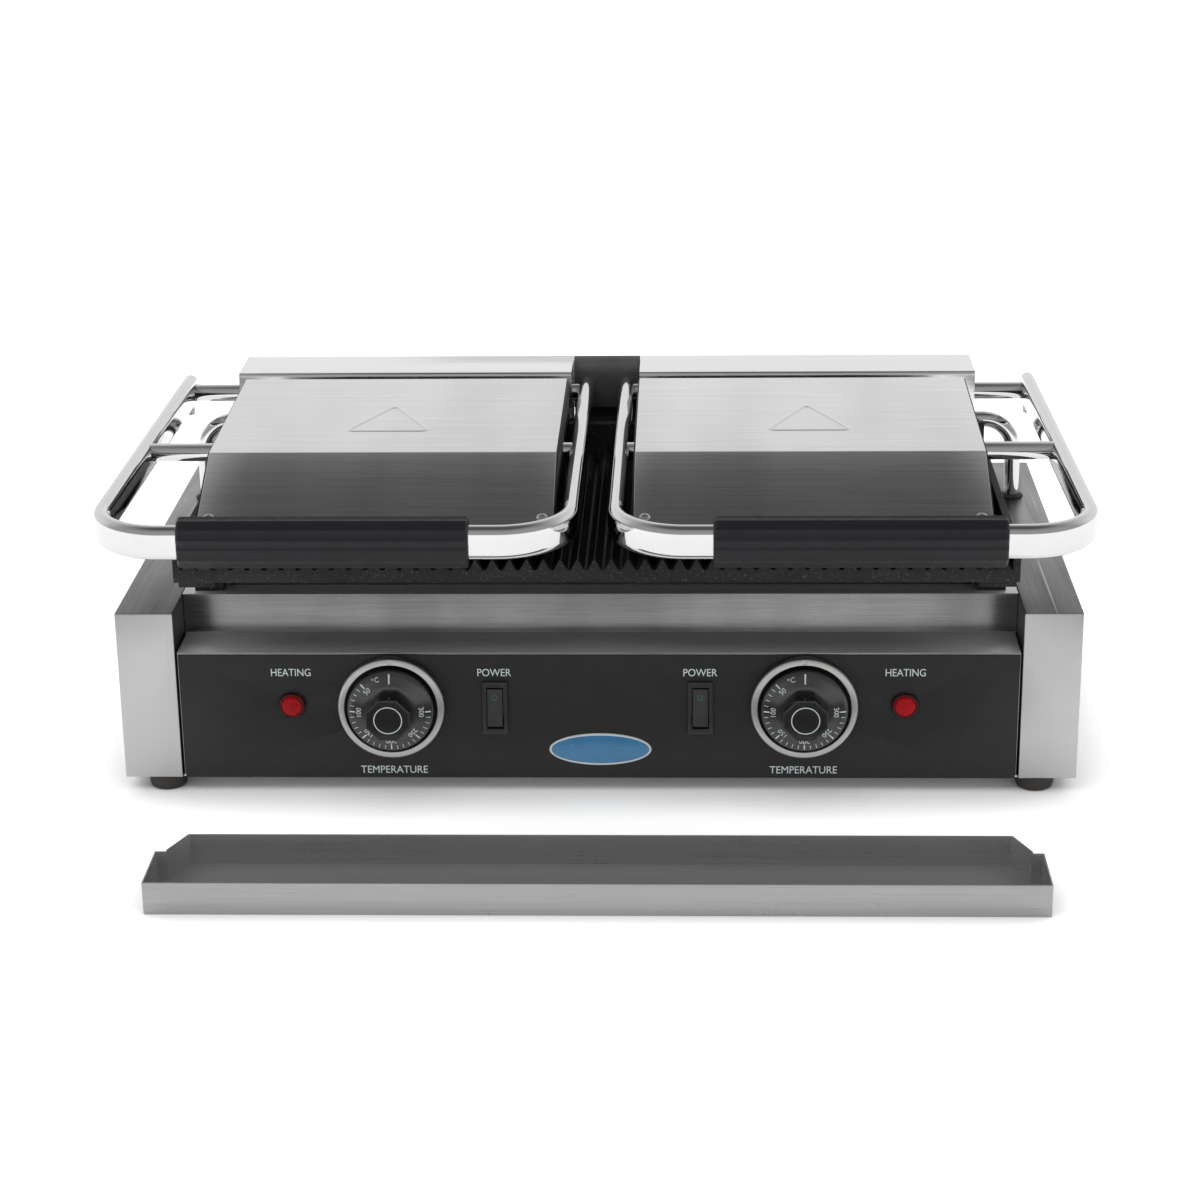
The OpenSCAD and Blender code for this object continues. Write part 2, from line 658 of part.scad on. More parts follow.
// Fluted sleeve on the front bar
grip_h = 30;
grip_t = 21;
flute_r = 2.6;
flute_off = grip_t / 2 + 2.1;          // distance of a flute's centre from the grip's core
module grip() on_handle() translate([grip_x0, handle_front_y, 0]) rotate([90, 0, 90])
    linear_extrude(grip_len) difference() {
        flat_oval(grip_t, grip_h);
        flat_oval(tube_t, tube_h);
        // flutes along the front and back, then over the rounded edges
        for (s = [-1, 1]) for (z = [-4.5, 0, 4.5]) translate([s * flute_off, z]) flute();
        for (s = [-1, 1]) for (a = [30 : 30 : 150])
            translate([cos(a) * flute_off, s * ((grip_h - grip_t) / 2 + sin(a) * flute_off)]) flute();
    }
module flute() circle(r = flute_r, $fn = 32);
module left_grip() set_frame() color(black) left() grip();
module right_grip() set_frame() color(black) grip();

module axle() translate([0, axle_y, axle_z])
    rod_x(rod_d / 2, arm_in_x - tube_t / 2 + 1, arm_out_x + tube_t / 2 - 1);
module left_axle() set_frame() color(chrome) left() axle();
module right_axle() set_frame() color(chrome) axle();

// Rod that carries the lid, welded between the arms; the outer one is further out there
module lid_rod() translate([0, lid_rod_y, lid_rod_z]) rod_x(rod_d / 2, arm_in_x + tube_t / 2 - 1,
    arm_out_x + (axle_y - lid_rod_y) * tan(arm_splay) - tube_t / 2 + 1);
module left_lid_rod() set_frame() color(chrome) left() lid_rod();
module right_lid_rod() set_frame() color(chrome) lid_rod();

// Hexagon set bolts that lock the axle from below the arms' ends
bolt_r = 2;
bolt_head_r = 3.5;
bolt_head_h = 4.4;
module set_bolts() on_handle() for (x = [arm_in_x, arm_out_x]) translate([x, axle_y, -tube_h / 2]) {
    translate([0, 0, -bolt_head_h - 0.1]) cylinder(r = bolt_head_r, h = bolt_head_h, $fn = 6);
    translate([0, 0, -1]) cylinder(r = bolt_r, h = tube_h / 2 + 1 - rod_d / 2, $fn = 24);
}
module left_set_bolts() set_frame() color(zinc) left() set_bolts();
module right_set_bolts() set_frame() color(zinc) set_bolts();

// ---------- lids ----------

// Side outline of the lid's top, moved inwards by t: rear, fold, nose
function lid_line(t) = [[lid_rear[0] - t, lid_rear[1] - t], [lid_fold[0] + t * 0.3, lid_fold[1] - t],
    [lid_nose[0] + t, lid_nose[1]]];

module lid_cover() difference() {
    along_x(lid_x0, lid_x1) polygon(concat(
        [[lid_rear[0], 190]], lid_line(0), [lid_line(cover_t)[2]],
        [lid_line(cover_t)[1], lid_line(cover_t)[0], [lid_rear[0] - cover_t, 190]]));
    for (x = lid_screw_x) at_lid_screw(x) translate([0, 0, -6])
        cylinder(r = lid_screw_r + 0.1, h = 12, $fn = 24);
}
module left_lid_cover() set_frame() color(steel) left() lid_cover();
module right_lid_cover() set_frame() color(steel) lid_cover();

// Screws near the two lower corners of the slope
lid_screw_r = 2;
lid_screw_l = 6;
screw_inset = 6.3;                     // distance of a lid screw from the lid's side and front edges
lid_screw_x = [lid_x0 + screw_inset, lid_x1 - screw_inset];
slope_a = atan2(lid_fold[1] - lid_nose[1], lid_fold[0] - lid_nose[0]);
module at_lid_screw(x) translate([x, lid_nose[0], lid_nose[1]]) rotate([slope_a, 0, 0])
    translate([0, screw_inset + 1, 0]) children();
module lid_screws() for (x = lid_screw_x) at_lid_screw(x) pan_screw(3.2, lid_screw_r, lid_screw_l);
module left_lid_screws() set_frame() color(zinc) left() lid_screws();
module right_lid_screws() set_frame() color(zinc) lid_screws();

// Cast plate: slab with ribs below and walls that carry the cover
module upper_plate() {
    w = upper_x1 - upper_x0;
    n = floor((w - 6) / rib_pitch);
    edge = (w - n * rib_pitch) / 2;
    valley_z = upper_tip_z + rib_h;
    line = lid_line(cover_t);
    above_z = lid_rear[1] + 20;
    difference() {
        // the front wall leans forward to carry the cover's nose
        along_x(upper_x0, upper_x1) polygon([[upper_y0, valley_z], [upper_y0, slab_z],
            [lid_nose[0] + 2, lid_nose[1] - 1.6], line[2], line[1],
            [upper_y1, lid_rear[1] - cover_t - 0.08], [upper_y1, valley_z]]);
        along_x(upper_x0 + wall_t, upper_x1 - wall_t) polygon([[upper_y0 + wall_t, slab_z],
            [upper_y0 + wall_t, lid_fold[1] - 15], [line[1][0], above_z], [upper_y1 - wall_t, above_z],
            [upper_y1 - wall_t, slab_z]]);
        translate([0, lid_rod_y, lid_rod_z]) rod_x(bush_r, upper_x0 - 1, upper_x1 + 1);
        for (x = lid_screw_x) at_lid_screw(x) translate([0, 0, -lid_screw_l - 0.5])
            cylinder(r = lid_screw_r, h = 12, $fn = 24);
    }
    // ribs, tips down
    translate([upper_x0 + edge, upper_y1, valley_z]) rotate([90, 0, 0]) linear_extrude(upper_y1 - upper_y0)
        mirror([0, 1]) polygon(concat([[0, 0]], rib_points(n),
            [[n * rib_pitch, 0], [n * rib_pitch, -1], [0, -1]]));
}
module left_upper_plate() set_frame() color(iron) left() upper_plate();
module right_upper_plate() set_frame() color(iron) upper_plate();

module upper_heater() translate([(lid_x0 + lid_x1) / 2, 0, slab_z + heater_r + 0.2])
    serpentine(4, 44, 12, 120);
module left_upper_heater() set_frame() color(zinc) left() upper_heater();
module right_upper_heater() set_frame() color(zinc) upper_heater();

module rod_bushes() translate([0, lid_rod_y, lid_rod_z]) for (s = [0, 1]) difference() {
    x0 = s == 0 ? upper_x0 : upper_x1 - wall_t;
    union() {
        rod_x(bush_r, x0, x0 + wall_t);
        rod_x(bush_r + 2, s == 0 ? x0 + wall_t : x0 - 1.5, s == 0 ? x0 + wall_t + 1.5 : x0);
    }
    rod_x(rod_d / 2 + run_clear, x0 - 4, x0 + wall_t + 4);
}
module left_rod_bushes() set_frame() color(brass) left() rod_bushes();
module right_rod_bushes() set_frame() color(brass) rod_bushes();

// ---------- drip tray ----------

// Outline of the tray, inset by t
module tray_outline(t) {
    hw = tray_w / 2 - t;
    polygon([[hw, t], [hw, tray_side_d - t], [hw - tray_step, tray_side_d - t],
        [hw - tray_step, tray_side_d + 2], [hw - tray_corner, tray_d - t],
        [-hw + tray_corner, tray_d - t], [-hw + tray_step, tray_side_d + 2],
        [-hw + tray_step, tray_side_d - t], [-hw, tray_side_d - t], [-hw, t]]);
}
module drip_tray() set_frame() color(steel) translate([tray_x, tray_y, 0]) difference() {
    linear_extrude(tray_h) tray_outline(0);
    translate([0, 0, tray_t]) linear_extrude(tray_h) tray_outline(tray_t);
}

base_shell();
left_side_housing();
right_side_housing();
bottom_cover();
rear_panel();
control_panel();
feet();
base_screws();
lower_plate();
lower_heaters();
heater_pan();
hinge_brackets();
hinge_bushes();
left_hinge_cover();
right_hinge_cover();
centre_cover();
left_spring();
right_spring();
left_conduit();
right_conduit();
conduit_grommets();
left_thermostat();
right_thermostat();
left_bezel();
right_bezel();
lamp_bezels();
lamp_lenses();
left_switch_frame();
right_switch_frame();
terminal_block();
cable_gland();
left_handle_tube();
right_handle_tube();
left_grip();
right_grip();
left_axle();
right_axle();
left_lid_rod();
right_lid_rod();
left_set_bolts();
right_set_bolts();
left_lid_cover();
right_lid_cover();
left_upper_plate();
right_upper_plate();
left_upper_heater();
right_upper_heater();
left_lid_screws();
right_lid_screws();
left_rod_bushes();
right_rod_bushes();
left_knob();
right_knob();
left_knob_shaft();
right_knob_shaft();
left_rocker();
right_rocker();
drip_tray();
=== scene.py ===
"""Double contact grill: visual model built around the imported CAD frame. Metres, +Z up, operator on -Y."""
from math import sin, cos, tan, pi, radians, hypot
import bpy
import bmesh
from mathutils import Vector, Matrix


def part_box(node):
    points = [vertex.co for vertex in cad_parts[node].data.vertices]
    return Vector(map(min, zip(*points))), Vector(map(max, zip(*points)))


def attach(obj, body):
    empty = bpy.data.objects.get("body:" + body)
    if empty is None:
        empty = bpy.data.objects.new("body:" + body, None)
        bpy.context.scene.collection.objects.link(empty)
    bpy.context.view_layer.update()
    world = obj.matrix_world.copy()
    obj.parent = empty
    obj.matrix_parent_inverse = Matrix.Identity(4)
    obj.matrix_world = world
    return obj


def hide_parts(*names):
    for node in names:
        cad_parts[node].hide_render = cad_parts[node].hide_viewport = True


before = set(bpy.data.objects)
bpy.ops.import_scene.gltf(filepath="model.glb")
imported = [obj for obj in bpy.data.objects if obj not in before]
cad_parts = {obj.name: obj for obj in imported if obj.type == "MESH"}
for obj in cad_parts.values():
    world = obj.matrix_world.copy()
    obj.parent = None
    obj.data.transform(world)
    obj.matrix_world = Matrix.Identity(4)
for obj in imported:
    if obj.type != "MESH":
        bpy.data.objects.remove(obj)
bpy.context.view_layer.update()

MM = 0.001
SIDES = (("left", -1), ("right", 1))

# The base's front face is the zero of Y for every length below, in millimetres
housing_lo, housing_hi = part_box("right_side_housing")
FRONT_Y = housing_lo.y / MM


def metres(p):
    """A point in millimetres from the front face, as a frame point."""
    return Vector((p[0], p[1] + FRONT_Y, p[2])) * MM


def local(v):
    """A frame point in millimetres from the front face."""
    return Vector((v.x / MM, v.y / MM - FRONT_Y, v.z / MM))


def node_box(node):
    """Two opposite corners of a CAD node, in millimetres from the front face."""
    lo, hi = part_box(node)
    return local(lo), local(hi)


# ---------------------------------------------------------------- camera

def make_camera():
    """The photograph's viewpoint: angles in radians, eye in millimetres."""
    yaw, pitch, roll = 0.036237, 0.347833, 0.012946
    eye = (57.751, -1529.904, 677.623)
    focal_px, image_px = 2780.167, 1200
    sensor_mm = 36
    forward = Vector((-sin(yaw) * cos(pitch), cos(yaw) * cos(pitch), -sin(pitch)))
    level = Vector((cos(yaw), sin(yaw), 0))
    down = forward.cross(level)
    x_axis = cos(roll) * level + sin(roll) * down
    y_axis = sin(roll) * level - cos(roll) * down
    data = bpy.data.cameras.new("camera")
    data.sensor_width = sensor_mm
    data.lens = focal_px / image_px * sensor_mm
    data.clip_start, data.clip_end = 0.05, 100
    cam = bpy.data.objects.new("camera", data)
    turn = Matrix((x_axis, y_axis, -forward)).transposed().to_4x4()
    cam.matrix_world = Matrix.Translation(metres(eye)) @ turn
    bpy.context.collection.objects.link(cam)
    bpy.context.scene.camera = cam


make_camera()


# ---------------------------------------------------------------- materials

class Shader:
    """A node material with one Principled shader; noise patterns are in object space."""

    def __init__(self, name, **sockets):
        self.material = bpy.data.materials.new(name)
        self.material.use_nodes = True
        self.tree = self.material.node_tree
        self.tree.nodes.clear()
        output = self.add("ShaderNodeOutputMaterial")
        self.bsdf = self.add("ShaderNodeBsdfPrincipled")
        self.link(self.bsdf.outputs[0], output.inputs[0])
        self.coord = self.add("ShaderNodeTexCoord").outputs["Object"]
        for key, value in sockets.items():
            self.bsdf.inputs[key.replace("_", " ")].default_value = value

    def add(self, kind, **props):
        n = self.tree.nodes.new(kind)
        for key, value in props.items():
            setattr(n, key, value)
        return n

    def link(self, a, b):
        self.tree.links.new(a, b)

    def noise(self, scale, stretch=(1, 1, 1), detail=3.0, rough=0.55, distortion=0.0, shift=0.0, coord=None):
        mapping = self.add("ShaderNodeMapping")
        mapping.inputs["Scale"].default_value = stretch
        mapping.inputs["Location"].default_value = (shift, shift * 0.7, shift * 1.3)
        tex = self.add("ShaderNodeTexNoise")
        tex.inputs["Scale"].default_value = scale
        tex.inputs["Detail"].default_value = detail
        tex.inputs["Roughness"].default_value = rough
        tex.inputs["Distortion"].default_value = distortion
        self.link(coord or self.coord, mapping.inputs["Vector"])
        self.link(mapping.outputs[0], tex.inputs["Vector"])
        return tex.outputs["Fac"]

    def spread(self, value, lo, hi, at=(0.3, 0.7)):
        """Stretches a noise value to the range lo..hi."""
        n = self.add("ShaderNodeMapRange")
        n.inputs["From Min"].default_value, n.inputs["From Max"].default_value = at
        n.inputs["To Min"].default_value, n.inputs["To Max"].default_value = lo, hi
        self.link(value, n.inputs["Value"])
        return n.outputs[0]

    def math(self, op, a, b=None):
        n = self.add("ShaderNodeMath", operation=op)
        for socket, v in zip(n.inputs, (a, b)):
            if v is None:
                continue
            if isinstance(v, (int, float)):
                socket.default_value = v
            else:
                self.link(v, socket)
        return n.outputs[0]

    def mix(self, factor, a, b):
        """Mixes two colours, each a tuple or a socket."""
        n = self.add("ShaderNodeMix", data_type="RGBA")
        self.link(factor, n.inputs[0])
        for socket, colour in ((n.inputs[6], a), (n.inputs[7], b)):
            if isinstance(colour, (tuple, list)):
                socket.default_value = (*colour, 1)
            else:
                self.link(colour, socket)
        return n.outputs[2]

    def normal_parts(self):
        """X, Y and Z of the object-space normal."""
        split = self.add("ShaderNodeSeparateXYZ")
        self.link(self.add("ShaderNodeTexCoord").outputs["Normal"], split.inputs[0])
        return split.outputs

    def place_parts(self):
        """X, Y and Z of the object-space position."""
        split = self.add("ShaderNodeSeparateXYZ")
        self.link(self.coord, split.inputs[0])
        return split.outputs

    def blend(self, factor, a, b):
        """Mixes two numbers."""
        return self.math("ADD", a, self.math("MULTIPLY", factor, self.math("SUBTRACT", b, a)))

    def grain(self, axis, dark, light, rough, contrast, cloud=0.0):
        """Tone, roughness and height of a brushed grain along an axis, with broad uneven bands."""
        fine = self.noise(1, along(axis, 26, 2300), detail=4)
        broad = self.noise(1, along(axis, 7, 420), detail=2, shift=3.1)
        streaks = self.math("ADD", self.math("MULTIPLY", fine, 0.6), self.math("MULTIPLY", broad, 0.4))
        if cloud:
            bands = self.noise(1, along(axis, 13, 3), detail=2, shift=17.0)
            shift = self.math("MULTIPLY", self.math("SUBTRACT", bands, 0.5), cloud)
            streaks = self.math("ADD", streaks, shift)
        reach = (0.5 - contrast, 0.5 + contrast)
        tone = self.mix(self.spread(streaks, 0, 1, reach), (dark,) * 3, (light,) * 3)
        return tone, self.spread(streaks, *rough, reach), fine

    def scuffs(self, tone, axis, strength):
        """A few long light scratches along the grain, and short ones across it."""
        long = self.noise(1, along(axis, 5, 640), detail=1, shift=21.0)
        short = self.noise(1, tuple(110 if i == axis else 30 for i in range(3)), detail=5, rough=0.7,
                           distortion=2.5, shift=33.0)
        marks = self.math("MAXIMUM", self.spread(long, 0, strength, (0.70, 0.76)),
                          self.spread(short, 0, strength * 0.6, (0.66, 0.71)))
        return self.mix(marks, tone, (0.85, 0.85, 0.84))

    def colour(self, output):
        self.link(output, self.bsdf.inputs["Base Color"])

    def roughness(self, output):
        self.link(output, self.bsdf.inputs["Roughness"])

    def bump(self, height, distance, strength=1.0, below=None):
        """Adds a height to the shader's normal, on top of another bump if one is given."""
        n = self.add("ShaderNodeBump")
        n.inputs["Strength"].default_value = strength
        n.inputs["Distance"].default_value = distance
        self.link(height, n.inputs["Height"])
        if below is not None:
            self.link(below, n.inputs["Normal"])
        self.link(n.outputs[0], self.bsdf.inputs["Normal"])
        return n.outputs[0]


def along(axis, long, across):
    """Noise stretch for a grain that runs along one axis."""
    return tuple(long if i == axis else across for i in range(3))


# Bump depths in metres: brushed grain, turned rings, and the slow wave in a sheet
GRAIN_DEPTH, FOLDED_GRAIN_DEPTH, LATHE_DEPTH = 0.000012, 0.00001, 0.00001
FLAT_WAVE, FOLDED_WAVE = 0.0006, 0.0005


def brushed(name, axis, dark, light, rough, contrast=0.14, scuffs=0.0, cloud=0.0):
    """Brushed stainless sheet, its grain along one axis: 0 is X, 1 is Y, 2 is Z."""
    s = Shader(name, Metallic=1.0)
    tone, r, fine = s.grain(axis, dark, light, rough, contrast, cloud)
    if scuffs:
        tone = s.scuffs(tone, axis, scuffs)
    s.colour(tone)
    s.roughness(r)
    s.bump(fine, GRAIN_DEPTH, below=s.bump(s.noise(5, detail=1, shift=9.0), FLAT_WAVE, 0.5))
    return s.material


def folded(name, walls, top, scuffs, inner=None, satin=(1, 1)):
    """Folded sheet whose walls and upward faces differ, their two greys painting light and shade: (grain
    axis, dark, light, roughness, contrast).

    The faces that look towards the centre plane can have a grey of their own, painted shade, and satin holds
    the metallic values of the walls and of the upward faces.
    """
    s = Shader(name, Metallic=1.0)
    wall_tone_and_shade, wall_r, wall_fine = s.grain(*walls)
    top_tone_and_shade, top_r, top_fine = s.grain(*top)
    top_tone_and_shade = s.scuffs(top_tone_and_shade, top[0], scuffs)
    normal = s.normal_parts()
    # mask of the upward faces: walls and tops take different greys, painted light and shade by facing
    up = s.spread(normal[2], 0, 1, (0.6, 0.9))
    if inner is not None:
        # painted shade: the faces towards the centre plane take the inner grey
        inner_shade_mask = s.math("MULTIPLY", s.math("SIGN", s.place_parts()[0]), normal[0])
        wall_tone_and_shade = s.mix(s.spread(inner_shade_mask, 1, 0, (-0.9, -0.6)), wall_tone_and_shade, (inner,) * 3)
    s.colour(s.mix(up, wall_tone_and_shade, top_tone_and_shade))
    if min(satin) < 1:
        s.link(s.spread(normal[2], *satin, (0.6, 0.9)), s.bsdf.inputs["Metallic"])
    smudge = s.noise(22, detail=4, shift=11.0)
    s.roughness(s.math("ADD", s.blend(up, wall_r, top_r), s.spread(smudge, -0.03, 0.05)))
    wave = s.noise(5, detail=1, shift=9.0)
    s.bump(s.blend(up, wall_fine, top_fine), FOLDED_GRAIN_DEPTH, below=s.bump(wave, FOLDED_WAVE, 0.5))
    return s.material


def polished(name, tone, rough):
    """Chrome or polished stainless, with faint wiping marks."""
    s = Shader(name, Metallic=1.0)
    cloud = s.noise(35, detail=4)
    s.colour(s.mix(s.spread(cloud, 0, 1), (tone * 0.96,) * 3, (tone, tone, tone * 1.01)))
    smear = s.noise(220, (1, 0.3, 0.3), detail=3, shift=2.0)
    s.roughness(s.spread(smear, rough * 0.7, rough * 1.4))
    s.bump(s.noise(60, detail=1, shift=4.0), 0.00005, 0.3)
    return s.material


def cast(name, dark, light, rough):
    """Seasoned cast iron: fine sand-cast grain and oily patches."""
    s = Shader(name, Specular_IOR_Level=0.28)
    sand = s.noise(900, detail=4, rough=0.65)
    patch = s.noise(28, detail=4, shift=7.0)
    both = s.math("ADD", s.math("MULTIPLY", sand, 0.35), s.math("MULTIPLY", patch, 0.65))
    tone = s.mix(s.spread(both, 0, 1, (0.4, 0.6)), dark, light)
    # painted shade darkens the front faces, which are speckled grey where the seasoning is worn off
    front_shade_and_wear = s.mix(s.spread(sand, 0, 1, (0.60, 0.72)), tuple(0.4 * c for c in light), (0.13, 0.12, 0.11))
    s.colour(s.mix(s.spread(s.normal_parts()[1], 1, 0, (-0.95, -0.6)), tone, front_shade_and_wear))
    s.roughness(s.spread(patch, *rough))
    pits = s.noise(2600, detail=2, shift=1.0)
    s.bump(sand, 0.00012, below=s.bump(pits, 0.00004))
    return s.material


def moulded(name, colour, rough, grain=1500, depth=0.00002, lift=1.35, **sockets):
    """Moulded plastic or rubber, or a coat of paint: a fine grain and a slightly uneven gloss."""
    s = Shader(name, **sockets)
    mottled = s.noise(60, detail=4)
    s.colour(s.mix(s.spread(mottled, 0, 1), colour, tuple(c * lift for c in colour)))
    s.roughness(s.spread(s.noise(240, detail=3, shift=3.0), *rough))
    s.bump(s.noise(grain, detail=2, shift=6.0), depth)
    return s.material


def spun(name, colour, rough, centre_x, centre_z, metallic, **sockets):
    """A face turned on a lathe: fine rings round the knob axis at +-centre_x."""
    s = Shader(name, Metallic=metallic, **sockets)
    place = s.place_parts()
    dx = s.math("SUBTRACT", s.math("ABSOLUTE", place[0]), centre_x)
    dz = s.math("SUBTRACT", place[2], centre_z)
    r = s.math("SQRT", s.math("ADD", s.math("MULTIPLY", dx, dx), s.math("MULTIPLY", dz, dz)))
    ring = s.add("ShaderNodeCombineXYZ")
    s.link(r, ring.inputs[0])
    rings = s.noise(3600, detail=2, coord=ring.outputs[0])
    s.colour(s.mix(s.spread(rings, 0, 1), tuple(c * 0.85 for c in colour), colour))
    s.roughness(s.spread(s.noise(200, detail=3), *rough))
    s.bump(rings, LATHE_DEPTH)
    return s.material


knob_lo, knob_hi = node_box("right_knob")
KNOB = (knob_lo + knob_hi) / 2
knob_axis_m = (KNOB.x * MM, KNOB.z * MM)

mats = {
    "steel_x": brushed("brushed_steel_x", 0, 0.56, 0.68, (0.20, 0.30)),
    "hinge": brushed("hinge_cover_steel", 0, 0.74, 0.86, (0.20, 0.28), scuffs=0.3),
    # painted shade: the housing's tops are darker than its walls, and its faces towards the centre plane are
    # near black
    "housing": folded("housing_steel_painted_shade", (2, 0.43, 0.49, (0.34, 0.44), 0.34),
                      (1, 0.17, 0.29, (0.26, 0.36), 0.2), scuffs=0.5, inner=0.10),
    "lid": brushed("lid_steel", 0, 0.54, 0.73, (0.18, 0.23), contrast=0.28, cloud=1.1),
    # painted shade: the recess walls are far darker than its upward faces
    "recess": folded("recess_steel_painted_shade", (0, 0.14, 0.28, (0.20, 0.28), 0.28, 1.2),
                     (0, 0.76, 0.90, (0.30, 0.40), 0.22), scuffs=0.3, satin=(1, 0.56)),
    "tray": folded("tray_steel", (0, 0.32, 0.40, (0.26, 0.34), 0.24),
                   (0, 0.34, 0.38, (0.50, 0.58), 0.3), scuffs=0.2, satin=(0.58, 0.64)),
    # painted shade: the heater pan's steel is near black, for the shade under the plate
    "pan": brushed("pan_steel_painted_shade", 0, 0.07, 0.12, (0.30, 0.40)),
    "ring": spun("dial_ring_satin", (0.46, 0.45, 0.44), (0.28, 0.38), *knob_axis_m, 1.0),
    "chrome": polished("chrome", 0.66, 0.055),
    "zinc": polished("zinc_plate", 0.52, 0.34),
    "heater": moulded("heater_sheath", (0.16, 0.15, 0.14), (0.35, 0.5), Metallic=1.0),
    "brass": polished("brass_bush", 0.5, 0.30),
    "iron": cast("cast_iron", (0.006, 0.0055, 0.005), (0.017, 0.015, 0.014), (0.42, 0.60)),
    "panel": moulded("panel_black", (0.0115, 0.0115, 0.0125), (0.42, 0.52), grain=2600, depth=0.000012,
                     lift=1.25, Specular_IOR_Level=0.3),
    "cover": moulded("cover_black", (0.075, 0.075, 0.078), (0.30, 0.42), grain=2000, depth=0.00001,
                     Specular_IOR_Level=0.3),
    "grip": moulded("grip_plastic", (0.008, 0.008, 0.010), (0.42, 0.55), grain=1800, depth=0.00002,
                    Specular_IOR_Level=0.3),
    "switch": moulded("switch_plastic", (0.010, 0.010, 0.011), (0.30, 0.40), grain=1800, depth=0.00001),
    "knob": moulded("knob_black", (0.010, 0.010, 0.011), (0.16, 0.24), grain=1500, depth=0.000006),
    "skirt": spun("knob_skirt", (0.032, 0.032, 0.035), (0.20, 0.30), *knob_axis_m, 0.35, Coat_Weight=0.4,
                  Coat_Roughness=0.12),
    "rubber": moulded("rubber_foot", (0.022, 0.018, 0.015), (0.55, 0.72), grain=900, depth=0.00005),
    "ceramic": moulded("terminal_ceramic", (0.55, 0.53, 0.47), (0.3, 0.45), grain=700),
    "print": moulded("white_print", (0.60, 0.66, 0.68), (0.5, 0.6), lift=1.12),
    "badge": moulded("badge_blue", (0.030, 0.17, 0.34), (0.20, 0.28), lift=1.15, Coat_Weight=0.3),
    "badge_rim": moulded("badge_rim", (0.58, 0.62, 0.64), (0.25, 0.35), lift=1.1),
    "lens": moulded("lamp_red", (0.25, 0.001, 0.003), (0.16, 0.24), lift=1.5, Specular_IOR_Level=0.15,
                    Emission_Color=(0.8, 0.0, 0.01, 1), Emission_Strength=0.03),
    "lamp_rim": moulded("lamp_rim", (0.035, 0.004, 0.005), (0.22, 0.30), Specular_IOR_Level=0.3),
    "green": moulded("switch_mark", (0.02, 0.09, 0.07), (0.4, 0.5)),
}


# ---------------------------------------------------------------- mesh code

def smooth_by_angle(obj, degrees):
    """Shades smooth where faces meet at less than the angle, and sharp elsewhere."""
    name = "smooth_%d" % degrees
    tree = bpy.data.node_groups.get(name)
    if tree is None:
        tree = bpy.data.node_groups.new(name, "GeometryNodeTree")
        tree.interface.new_socket("Geometry", in_out="INPUT", socket_type="NodeSocketGeometry")
        tree.interface.new_socket("Geometry", in_out="OUTPUT", socket_type="NodeSocketGeometry")
        start = tree.nodes.new("NodeGroupInput")
        end = tree.nodes.new("NodeGroupOutput")
        angle = tree.nodes.new("GeometryNodeInputMeshEdgeAngle")
        sharp = tree.nodes.new("FunctionNodeCompare")
        sharp.data_type, sharp.operation = "FLOAT", "LESS_THAN"
        sharp.inputs[1].default_value = radians(degrees)
        faces = tree.nodes.new("GeometryNodeSetShadeSmooth")
        faces.domain = "FACE"
        edges = tree.nodes.new("GeometryNodeSetShadeSmooth")
        edges.domain = "EDGE"
        tree.links.new(start.outputs[0], faces.inputs["Geometry"])
        tree.links.new(faces.outputs[0], edges.inputs["Geometry"])
        tree.links.new(angle.outputs["Unsigned Angle"], sharp.inputs[0])
        tree.links.new(sharp.outputs[0], edges.inputs["Shade Smooth"])
        tree.links.new(edges.outputs[0], end.inputs[0])
    mod = obj.modifiers.new("smooth", "NODES")
    mod.node_group = tree


def round_edges(obj, width, angle):
    """Rounds the edges that are sharper than the angle, to a width in millimetres."""
    mod = obj.modifiers.new("round", "BEVEL")
    mod.width = width * MM
    mod.segments = 2
    mod.limit_method = "ANGLE"
    mod.angle_limit = radians(angle)
    mod.use_clamp_overlap = True


def finish_node(node, material, bevel):
    """Gives a CAD node its material, and softens its sharp edges."""
    angle = 30
    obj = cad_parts[node]
    for slot in obj.material_slots:
        slot.material = mats[material]
    if bevel:
        weld = obj.modifiers.new("weld", "WELD")
        weld.merge_threshold = 1e-6
        round_edges(obj, bevel, angle)
        smooth_by_angle(obj, angle)


